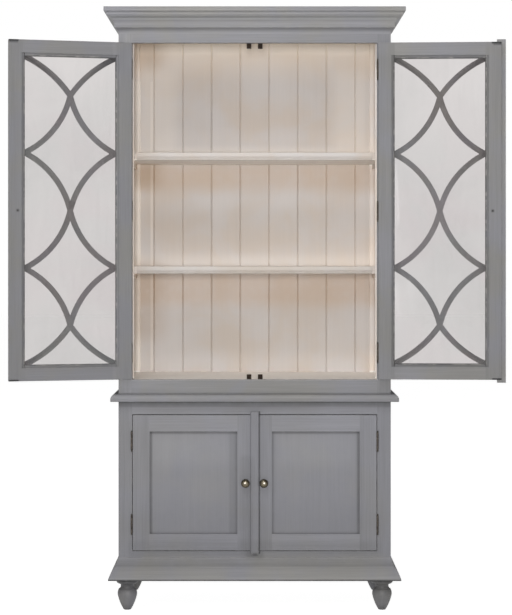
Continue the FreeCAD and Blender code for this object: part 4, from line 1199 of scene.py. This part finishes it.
@dataclass
class Joinery:
    """Boards, rails and mouldings: the CAD pieces with every open arris eased.

    Attributes:
        shop: the finishes and solids.
        ease: the usual width of an eased arris.
        own_ease: the widths of nodes that have their own.
        clear: how much air an edge needs to be eased.
        sharp: the angle, in degrees, from which an edge is an arris.
    """

    shop: Workshop
    ease: float = 1.0 * MM
    own_ease: dict[str, float] = field(default_factory=dict)
    clear: float = 1.2 * MM
    sharp: float = 30.0

    def eased(self, node: str, name: str, ease: Optional[float] = None,
              segments: int = 2) -> bpy.types.Object:
        """Copies a node, merges each of its solids and eases the edges that are open to the air.

        Args:
            node: the CAD node.
            name: the piece's name.
            ease: width of the eased arris; the usual one if None.
            segments: faces across the arris.

        Returns:
            The piece, not yet dressed.
        """
        width = self.own_ease.get(node, self.ease) if ease is None else ease
        piece = own_mesh_copy(frame["nodes"][node], name)
        piece.data.materials.append(self.shop.finishes[self.shop.slots[node]])
        layer = piece.data.attributes.new("shell", "INT", "FACE")
        layer.data.foreach_set("value", self.shop.shells[node])
        with bench(piece):
            for number in range(max(self.shop.shells[node]) + 1):
                self.pick_shell(number)
                bpy.ops.mesh.remove_doubles(threshold=0.00002)
            bpy.ops.mesh.customdata_custom_splitnormals_clear()
            bpy.ops.mesh.select_all(action="SELECT")
            bpy.ops.mesh.dissolve_limited(angle_limit=math.radians(0.3))
        with bench(piece, "EDGE"):
            if self.pick_open_edges(node, width):
                bpy.ops.mesh.bevel(offset=width, segments=segments, profile=0.5, affect="EDGES",
                                   clamp_overlap=False, material=1)
            self.mark_arris()
        smooth(piece)
        return piece

    @staticmethod
    def pick_shell(number: int) -> None:
        """Selects one solid of the open piece."""
        layer = bmesh.from_edit_mesh(bpy.context.edit_object.data).faces.layers.int["shell"]
        pick("faces", lambda face: face[layer] == number)

    def pick_open_edges(self, node: str, width: float) -> int:
        """Selects the outer edges that touch nothing else.

        Args:
            node: the node that the open piece copies.
            width: the easing's width.

        Returns:
            How many are selected.
        """
        layer = bmesh.from_edit_mesh(bpy.context.edit_object.data).faces.layers.int["shell"]
        reach = self.clear

        def is_open(edge: bmesh.types.BMEdge) -> bool:
            """Whether an edge is sharp, outward and clear of every neighbour."""
            if len(edge.link_faces) != 2 or not edge.is_convex:
                return False
            if edge.calc_face_angle(0.0) < math.radians(self.sharp) or edge.calc_length() < 0.5 * width:
                return False
            out = (edge.link_faces[0].normal + edge.link_faces[1].normal).normalized()
            first, last = (corner.co for corner in edge.verts)
            shell = edge.link_faces[0][layer]
            return all(self.shop.free(first.lerp(last, share) + out * reach, reach * 0.95, node, shell)
                       for share in (0.06, 0.3, 0.5, 0.7, 0.94))

        return pick("edges", is_open)

    @staticmethod
    def mark_arris() -> None:
        """Marks the faces along the arrises, which the bevel gave the second slot."""
        mesh = bpy.context.edit_object.data
        draft = bmesh.from_edit_mesh(mesh)
        layer = draft.faces.layers.float.get("arris") or draft.faces.layers.float.new("arris")
        for face in draft.faces:
            face[layer] = float(face.material_index)
            face.material_index = 0
        bmesh.update_edit_mesh(mesh)

    def dress(self, piece: bpy.types.Object, node: str, turn: float = 0.0, pin: Place = ORIGIN) -> None:
        """Marks the grain and finishes a copied piece.

        Args:
            piece: the piece.
            node: the node that it stands for.
            turn: degrees its body is turned at rest.
            pin: what it is turned about.
        """
        mark_grain(piece, turn, pin, seed=sum(map(ord, node)))
        mark_light_tone(piece, node, pin)
        self.shop.finish(piece, self.shop.bodies[node], self.shop.slots[node], [node])

    def build(self, nodes: Sequence[str], turn: float = 0.0, pin: Place = ORIGIN) -> None:
        """Eases and dresses several nodes.

        Args:
            nodes: their names.
            turn: degrees their body is turned at rest.
            pin: what it is turned about.
        """
        for node in nodes:
            self.dress(self.eased(node, f"{node}_eased"), node, turn, pin)


@dataclass
class Carcase:
    """Both cases: sides, floors, backs, face frames, mouldings and the shelves."""

    joinery: Joinery
    frames: tuple[str, ...] = (
        "upper_stile_left", "upper_stile_right", "upper_top_rail", "upper_bottom_rail",
        "lower_stile_left", "lower_stile_right", "lower_top_rail", "lower_bottom_rail")
    boards: tuple[str, ...] = (
        "upper_side_left", "upper_side_right", "upper_floor_board", "upper_ceiling_board",
        "upper_back_boards", "lower_side_left", "lower_side_right", "lower_floor_board",
        "lower_back_boards", "base_board", "waist_board", "cap_board")
    mouldings: tuple[str, ...] = (
        "cornice_front", "cornice_returns", "base_moulding_front", "base_moulding_returns")
    fittings: tuple[str, ...] = ("shelf_low", "shelf_high", "shelf_supports")

    def build(self) -> None:
        """Builds every fixed board."""
        for group in (self.frames, self.boards, self.mouldings, self.fittings):
            self.joinery.build(group)


@dataclass
class TurnedFeet:
    """Four turned feet, each with its dowel."""

    shop: Workshop
    radius: float = 40 * MM
    tall: float = 115 * MM
    out: float = 466 * MM
    front: float = -185 * MM
    back: float = 175 * MM
    dowel: float = 10 * MM
    dowel_long: float = 20 * MM

    def model(self) -> bpy.types.Object:
        """Turns one foot on the origin.

        Returns:
            The foot.
        """
        dowel, top = self.dowel / self.radius, 1 + self.dowel_long / self.tall
        return Turning("foot", (0.0, 0.0), [
            [(0.33, 0.0)],
            [(0.345, 0.003), (0.35, 0.012)],
            [(0.68, 0.24), (0.87, 0.45)],
            [(0.89, 0.55), (0.78, 0.66)],
            [(0.60, 0.76), (0.68, 0.83)],
            [(0.70, 0.838)],
            [(0.90, 0.85), (1.0, 0.90)],
            [(1.0, 1.0)],
            [(dowel, 1.0)],
            [(dowel, top)],
            [(0.0, top)]], self.radius, self.tall, sides=64, arc_steps=12).turned()

    def build(self) -> None:
        """Makes the four feet one piece and dresses it."""
        model = self.model()
        smooth(model, 40)
        feet = [put(model, Vector((side * self.out, y, 0.0)), Vector(UP), spin=37 * side + 900 * y)
                for side in (-1, 1) for y in (self.front, self.back)]
        scrap(model)
        piece = joined(feet, "turned_feet")
        mark_grain(piece, seed=11)
        self.shop.finish(piece, "case", "grey_paint", ["feet"])


@dataclass
class Hinge:
    """A butt hinge's sizes about its pin, with +X running to the door, as on the left."""

    pin_x: float = 447.7 * MM
    pin_y: float = -219.0 * MM
    long: float = 64 * MM
    frame_face: float = 1.2 * MM
    door_face: float = 2.4 * MM
    leaf_middle: float = 13.2 * MM
    screws: tuple[float, ...] = (-22 * MM, 0.0, 22 * MM)
    stagger: float = 1.5 * MM
    barrel: float = 3.5 * MM
    knop: float = 6.5 * MM

    def pin(self, hand: Hand) -> Place:
        """The pin's axis on one side of the cabinet."""
        return (hand.value * self.pin_x, self.pin_y, 0.0)

    def finial(self) -> bpy.types.Object:
        """Turns the small knop that ends a barrel, standing on the origin."""
        return Turning("finial", (0.0, 0.0), [
            [(0.94, 0.0)], [(0.94, 0.1)], [(0.5, 0.26)], [(0.78, 0.4), (0.88, 0.62)],
            [(0.62, 0.9), (0.0, 1.0)]], self.barrel, self.knop, sides=20, arc_steps=5).turned()


@dataclass
class Hinges:
    """The leaves, barrels, screws and knops of one set of hinges."""

    shop: Workshop
    joinery: Joinery
    hinge: Hinge
    heights: dict[Tier, tuple[float, ...]] = field(default_factory=lambda: {
        Tier.UPPER: (940 * MM, UPPER_MIDDLE, 1971.5 * MM), Tier.LOWER: (315 * MM, 618 * MM)})

    def screw_set(self, head: bpy.types.Object, hand: Hand, tier: Tier, face: float, towards: float,
                  turn: float = 0.0) -> list[bpy.types.Object]:
        """Screws of one hand's leaves.

        Args:
            head: the screw head's model.
            hand: which side of the cabinet.
            tier: which case.
            face: the leaf's open face, from the pin towards the door.
            towards: 1 if it faces the door, -1 if it faces the frame.
            turn: degrees that the leaf is turned about the pin.

        Returns:
            The screws.
        """
        side = -hand.value
        pin = Vector(self.hinge.pin(hand))
        swing = Matrix.Rotation(math.radians(turn), 3, "Z")
        found = []
        for number, height in enumerate(self.heights[tier]):
            for step, offset in enumerate(self.hinge.screws):
                deep = self.hinge.leaf_middle + (-1) ** step * self.hinge.stagger
                place = Vector((side * face, deep, height + offset))
                facing = swing @ Vector((side * towards, 0.0, 0.0))
                found.append(put(head, pin + swing @ place, facing, spin=53 * step + 31 * number))
        return found

    def build_fixed(self, head: bpy.types.Object) -> None:
        """Leaves on the case, with their screws and the knops on every pin.

        Args:
            head: the screw head's model.
        """
        leaves = self.joinery.eased("hinge_frame_leaves", "hinge_frame_leaves_cast", ease=0.25 * MM)
        finial = self.hinge.finial()
        smooth(finial, 40)
        more = []
        for hand in Hand:
            for tier in Tier:
                more += self.screw_set(head, hand, tier, self.hinge.frame_face, 1)
                for height in self.heights[tier]:
                    for end in (-1, 1):
                        rise = Vector((0.0, 0.0, height + end * self.hinge.long / 2))
                        spot = Vector(self.hinge.pin(hand)) + rise
                        more.append(put(finial, spot, Vector((0.0, 0.0, float(end)))))
        scrap(finial)
        self.shop.finish(joined([leaves, *more], "hinge_frame_leaves_cast"), "case", "hinge_bronze",
                         ["hinge_frame_leaves"])

    def build_moving(self, head: bpy.types.Object, hand: Hand, tier: Tier, turn: float) -> None:
        """Leaves on one door, with their screws.

        Args:
            head: the screw head's model.
            hand: which side.
            tier: which case.
            turn: degrees that the door is turned at rest.
        """
        door = f"{tier.value}_door_{hand.name.lower()}"
        leaves = self.joinery.eased(f"{door}_hinge_leaves", f"{door}_hinge_leaves_cast", ease=0.25 * MM)
        screws = self.screw_set(head, hand, tier, self.hinge.door_face, -1, turn)
        self.shop.finish(joined([leaves, *screws], f"{door}_hinge_leaves_cast"), door, "hinge_bronze",
                         [f"{door}_hinge_leaves"])


@dataclass
class Knob:
    """A turned knob with its screw through the stile."""

    shop: Workshop
    radius: float = 16 * MM
    long: float = 28 * MM
    screw: float = 2.4 * MM
    stile: float = 22 * MM

    def model(self) -> bpy.types.Object:
        """Turns the knob on the origin, pointing up, its screw below.

        Returns:
            The knob.
        """
        screw, tip = self.screw / self.radius, -self.stile / self.long
        piece = Turning("knob", (0.0, tip), [
            [(screw, tip)],
            [(screw, 0.0)],
            [(0.53, 0.0)],
            [(0.555, 0.012), (0.56, 0.03)],
            [(0.56, 0.055)],
            [(0.545, 0.075), (0.50, 0.08)],
            [(0.44, 0.085)],
            [(0.35, 0.18), (0.32, 0.36)],
            [(0.345, 0.375), (0.36, 0.39)],
            [(0.36, 0.405)],
            [(0.345, 0.42)],
            [(0.71, 0.48), (0.98, 0.64)],
            [(0.995, 0.68), (0.965, 0.72)],
            [(0.95, 0.725)],
            [(0.945, 0.745)],
            [(0.74, 0.92), (0.25, 0.995)],
            [(0.12, 1.0), (0.0, 1.0)]], self.radius, self.long, sides=56, arc_steps=9).turned()
        smooth(piece, 35)
        return piece


@dataclass
class Door:
    """What every door has: its frame, hinges, knob and strikes, turned about its pin at rest."""

    shop: Workshop
    joinery: Joinery
    hinges: Hinges
    tier: Tier
    hand: Hand
    turn: float
    knob_height: float
    leaf_wide: float = 443.5 * MM
    knob_inset: float = 32.5 * MM
    face: float = 4.0 * MM
    thick: float = 22 * MM
    edge: float = 3.2 * MM
    strike_inset: float = 18 * MM
    strike_screws: float = 11 * MM
    strike_thick: float = 1.5 * MM
    strike_half: float = 3 * MM

    @property
    def body(self) -> str:
        """The door's body."""
        return f"{self.tier.value}_door_{self.hand.name.lower()}"

    @property
    def pin(self) -> Place:
        """The door's pin."""
        return self.hinges.hinge.pin(self.hand)

    def placed(self, out: float, deep: float, height: float) -> Vector:
        """A place on the door as it stands at rest.

        Args:
            out: from the pin towards the meeting edge.
            deep: from the pin's level towards the back.
            height: above the floor.

        Returns:
            The place.
        """
        swing = Matrix.Rotation(math.radians(self.turn), 3, "Z")
        return Vector(self.pin) + swing @ Vector((-self.hand.value * out, deep, height))

    def facing(self, front: bool) -> Vector:
        """Which way the door's front or inside faces at rest."""
        swing = Matrix.Rotation(math.radians(self.turn), 3, "Z")
        return swing @ Vector((0.0, -1.0 if front else 1.0, 0.0))

    def wood(self) -> list[str]:
        """The door's wooden nodes."""
        return [f"{self.body}_{part}" for part in ("stiles", "rails")]

    def build_knob(self, model: bpy.types.Object) -> None:
        """Puts the knob on the door.

        Args:
            model: the knob's model.
        """
        place = self.placed(self.edge + self.leaf_wide - self.knob_inset, self.face, self.knob_height)
        knob = put(model, place, self.facing(True), spin=40.0 * self.hand.value)
        knob.name = f"{self.body}_knob_turned"
        self.shop.finish(knob, self.body, "knob_brass", [f"{self.body}_knob"])

    def build_strikes(self, head: bpy.types.Object, heights: Sequence[float]) -> None:
        """Strike plates with two screws each.

        Args:
            head: the screw head's model.
            heights: the middle of each plate.
        """
        node = f"{self.body}_strikes"
        plates = self.joinery.eased(node, f"{node}_plate", ease=0.3 * MM)
        middle = self.edge + self.leaf_wide - self.strike_inset
        deep = self.face + self.thick + self.strike_thick
        screws = [put(head, self.placed(middle + step * self.strike_screws, deep, height),
                      self.facing(False), spin=20 + 65 * step)
                  for height in heights for step in (-1, 1)]
        self.shop.finish(joined([plates, *screws], f"{node}_plate"), self.body, "strike_steel", [node])

    def build(self, knob: bpy.types.Object, hinge_screw: bpy.types.Object,
              small_screw: bpy.types.Object) -> None:
        """Builds the whole door.

        Args:
            knob: the knob's model.
            hinge_screw: the model of a hinge's screw head.
            small_screw: the model of a strike's screw head.
        """
        self.joinery.build(self.wood(), self.turn, self.pin)
        self.hinges.build_moving(hinge_screw, self.hand, self.tier, self.turn)
        self.build_knob(knob)
        low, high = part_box(f"{self.body}_strikes")
        middles = [high[2] - self.strike_half]
        if self.tier is Tier.UPPER:
            middles.append(low[2] + self.strike_half)
        self.build_strikes(small_screw, middles)


@dataclass
class GlazedDoor(Door):
    """An upper door: curved bars over one pane held by beads."""

    def wood(self) -> list[str]:
        """The frame, beads and bars, and the strip that one door carries."""
        parts = [f"{self.body}_{part}" for part in ("stiles", "rails", "beads", "lattice")]
        return parts + ([f"{self.body}_astragal"] if self.hand is Hand.RIGHT else [])

    def build(self, knob: bpy.types.Object, hinge_screw: bpy.types.Object,
              small_screw: bpy.types.Object) -> None:
        """Builds the door and glazes it."""
        super().build(knob, hinge_screw, small_screw)
        pane = frame["nodes"][f"{self.body}_glass"]
        pane.data.materials.clear()
        pane.data.materials.append(self.shop.finishes["glass"])
        LOG.info("%s glazed", self.body)


@dataclass
class PanelledDoor(Door):
    """A lower door: a sunk flat panel."""

    def wood(self) -> list[str]:
        """The frame and panel, and the strip that one door carries."""
        parts = [f"{self.body}_{part}" for part in ("stiles", "rails", "panel")]
        return parts + ([f"{self.body}_astragal"] if self.hand is Hand.LEFT else [])


@dataclass
class Catches:
    """The catches over and under the doorways."""

    shop: Workshop
    joinery: Joinery

    def build(self) -> None:
        """Eases the catches' cases and dresses them."""
        piece = self.joinery.eased("door_catches", "door_catches_cased", ease=0.9 * MM, segments=3)
        self.shop.finish(piece, "case", "catch_brown", ["door_catches"])


@dataclass(frozen=True)
class SoftBox:
    """A rectangular lamp.

    Attributes:
        place, target: where it stands and what it looks at.
        size: its width and height.
        watts: its power.
        tint: its colour.
    """

    place: Place
    target: Place
    size: tuple[float, float]
    watts: float
    tint: Place = (1.0, 1.0, 1.0)

    def hang(self) -> None:
        """Puts the lamp in the scene and aims it."""
        bpy.ops.object.light_add(type="AREA", location=self.place)
        lamp = bpy.context.active_object
        lamp.data.shape = "RECTANGLE"
        lamp.data.size, lamp.data.size_y = self.size
        lamp.data.energy = self.watts
        lamp.data.color = self.tint
        away = Vector(self.target) - lamp.location
        lamp.rotation_euler = away.to_track_quat("-Z", "Y").to_euler()


KEY_LAMP = SoftBox((-4.2, -5.0, 4.0), (0.0, -0.2, 1.4), (2.0, 2.0), 40.0, (1.0, 0.995, 0.985))
FILL_LAMP = SoftBox((-0.10, -6.9, 1.45), (0.0, 0.0, 1.3), (0.56, 0.9), 208.0)
TOP_LAMP = SoftBox((-0.5, -2.8, 4.4), (0.0, -0.1, 1.5), (1.6, 1.2), 44.0)
WHITE: Colour = (1.0, 1.0, 1.0, 1.0)


@dataclass
class Studio:
    """Floor, lights and the camera that stands where the photograph was taken.

    Attributes:
        distance, eye: how far before the cabinet and how high the camera is.
        lens: its focal length in millimetres, on a frame 36 mm tall.
        rise, aside: how far its picture is shifted up and to the right, as shares of the frame.
        below, above: the surround's light from below and from above.
        low, high: where between straight down and straight up the one turns into the other.
        lamps: the lamps.
    """

    distance: float = 6.215
    eye: float = 1.289
    lens: float = 96.4
    rise: float = -0.0821
    aside: float = 0.0022
    below: float = 0.40
    above: float = 0.12
    low: float = -0.6
    high: float = 0.7
    lamps: tuple[SoftBox, ...] = (KEY_LAMP, FILL_LAMP, TOP_LAMP)

    def build_floor(self) -> None:
        """A plain pale floor."""
        bpy.ops.mesh.primitive_plane_add(size=60.0, location=ORIGIN)
        floor = bpy.context.active_object
        floor.name = "floor"
        with bench(floor):
            bpy.ops.mesh.select_all(action="SELECT")
            bpy.ops.mesh.subdivide(number_cuts=4)
        floor.data.materials.append(StudioFloor().make())
        floor.visible_diffuse = False

    def build_surround(self) -> None:
        """A white surround that lights from below more than from above."""
        world = bpy.data.worlds.new("surround")
        bpy.context.scene.world = world
        world.use_nodes = True
        tree = world.node_tree
        tree.nodes.clear()
        out = tree.nodes.new("ShaderNodeOutputWorld")
        seen = tree.nodes.new("ShaderNodeBackground")
        seen.inputs["Color"].default_value = WHITE
        place = tree.nodes.new("ShaderNodeTexCoord")
        parts = tree.nodes.new("ShaderNodeSeparateXYZ")
        tree.links.new(place.outputs["Generated"], parts.inputs[0])
        height = tree.nodes.new("ShaderNodeMapRange")
        for number, value in enumerate((self.low, self.high, self.below, self.above), start=1):
            height.inputs[number].default_value = value
        tree.links.new(parts.outputs["Z"], height.inputs[0])
        lit = tree.nodes.new("ShaderNodeBackground")
        lit.inputs["Color"].default_value = WHITE
        tree.links.new(height.outputs[0], lit.inputs["Strength"])
        path = tree.nodes.new("ShaderNodeLightPath")
        mixed = tree.nodes.new("ShaderNodeMixShader")
        tree.links.new(path.outputs["Is Camera Ray"], mixed.inputs[0])
        tree.links.new(lit.outputs[0], mixed.inputs[1])
        tree.links.new(seen.outputs[0], mixed.inputs[2])
        tree.links.new(mixed.outputs[0], out.inputs["Surface"])

    def build_lights(self) -> None:
        """A soft key from the left, a fill behind the camera, a top light and the surround."""
        for lamp in self.lamps:
            lamp.hang()
        self.build_surround()

    def build_camera(self) -> None:
        """The camera, square on to the front."""
        bpy.ops.object.camera_add(location=(0.0, -self.distance, self.eye),
                                  rotation=(math.radians(90), 0.0, 0.0))
        camera = bpy.context.active_object
        camera.data.sensor_fit = "VERTICAL"
        camera.data.sensor_height = 36.0
        camera.data.lens = self.lens
        camera.data.shift_x = self.aside
        camera.data.shift_y = self.rise
        bpy.context.scene.camera = camera

    def build(self) -> None:
        """Sets up the studio."""
        self.build_camera()
        self.build_lights()
        self.build_floor()
        bpy.context.scene.view_settings.view_transform = "Standard"


def main() -> None:
    """Builds the cabinet's looks, group by group."""
    logging.basicConfig(level=logging.INFO, format="%(name)s: %(message)s")
    shop = Workshop()
    joinery = Joinery(shop, own_ease={f"upper_door_{hand.name.lower()}_beads": 4.5 * MM for hand in Hand})
    Carcase(joinery).build()
    TurnedFeet(shop).build()
    hinges = Hinges(shop, joinery, Hinge())
    hinge_screw = ScrewHead(proud=0.2 * MM).made()
    small_screw = ScrewHead(radius=2.0 * MM, proud=0.2 * MM, slot=0.6 * MM).made()
    knob = Knob(shop).model()
    hinges.build_fixed(hinge_screw)
    doors = [
        GlazedDoor(shop, joinery, hinges, Tier.UPPER, Hand.LEFT, turn=-167.0, knob_height=UPPER_MIDDLE),
        GlazedDoor(shop, joinery, hinges, Tier.UPPER, Hand.RIGHT, turn=177.0, knob_height=UPPER_MIDDLE),
        PanelledDoor(shop, joinery, hinges, Tier.LOWER, Hand.LEFT, turn=0.0, knob_height=PANEL_MIDDLE),
        PanelledDoor(shop, joinery, hinges, Tier.LOWER, Hand.RIGHT, turn=0.0, knob_height=PANEL_MIDDLE),
    ]
    for door in doors:
        door.build(knob, hinge_screw, small_screw)
    for model in (knob, hinge_screw, small_screw):
        scrap(model)
    Catches(shop, joinery).build()
    Studio().build()


if __name__ == "__main__":
    main()
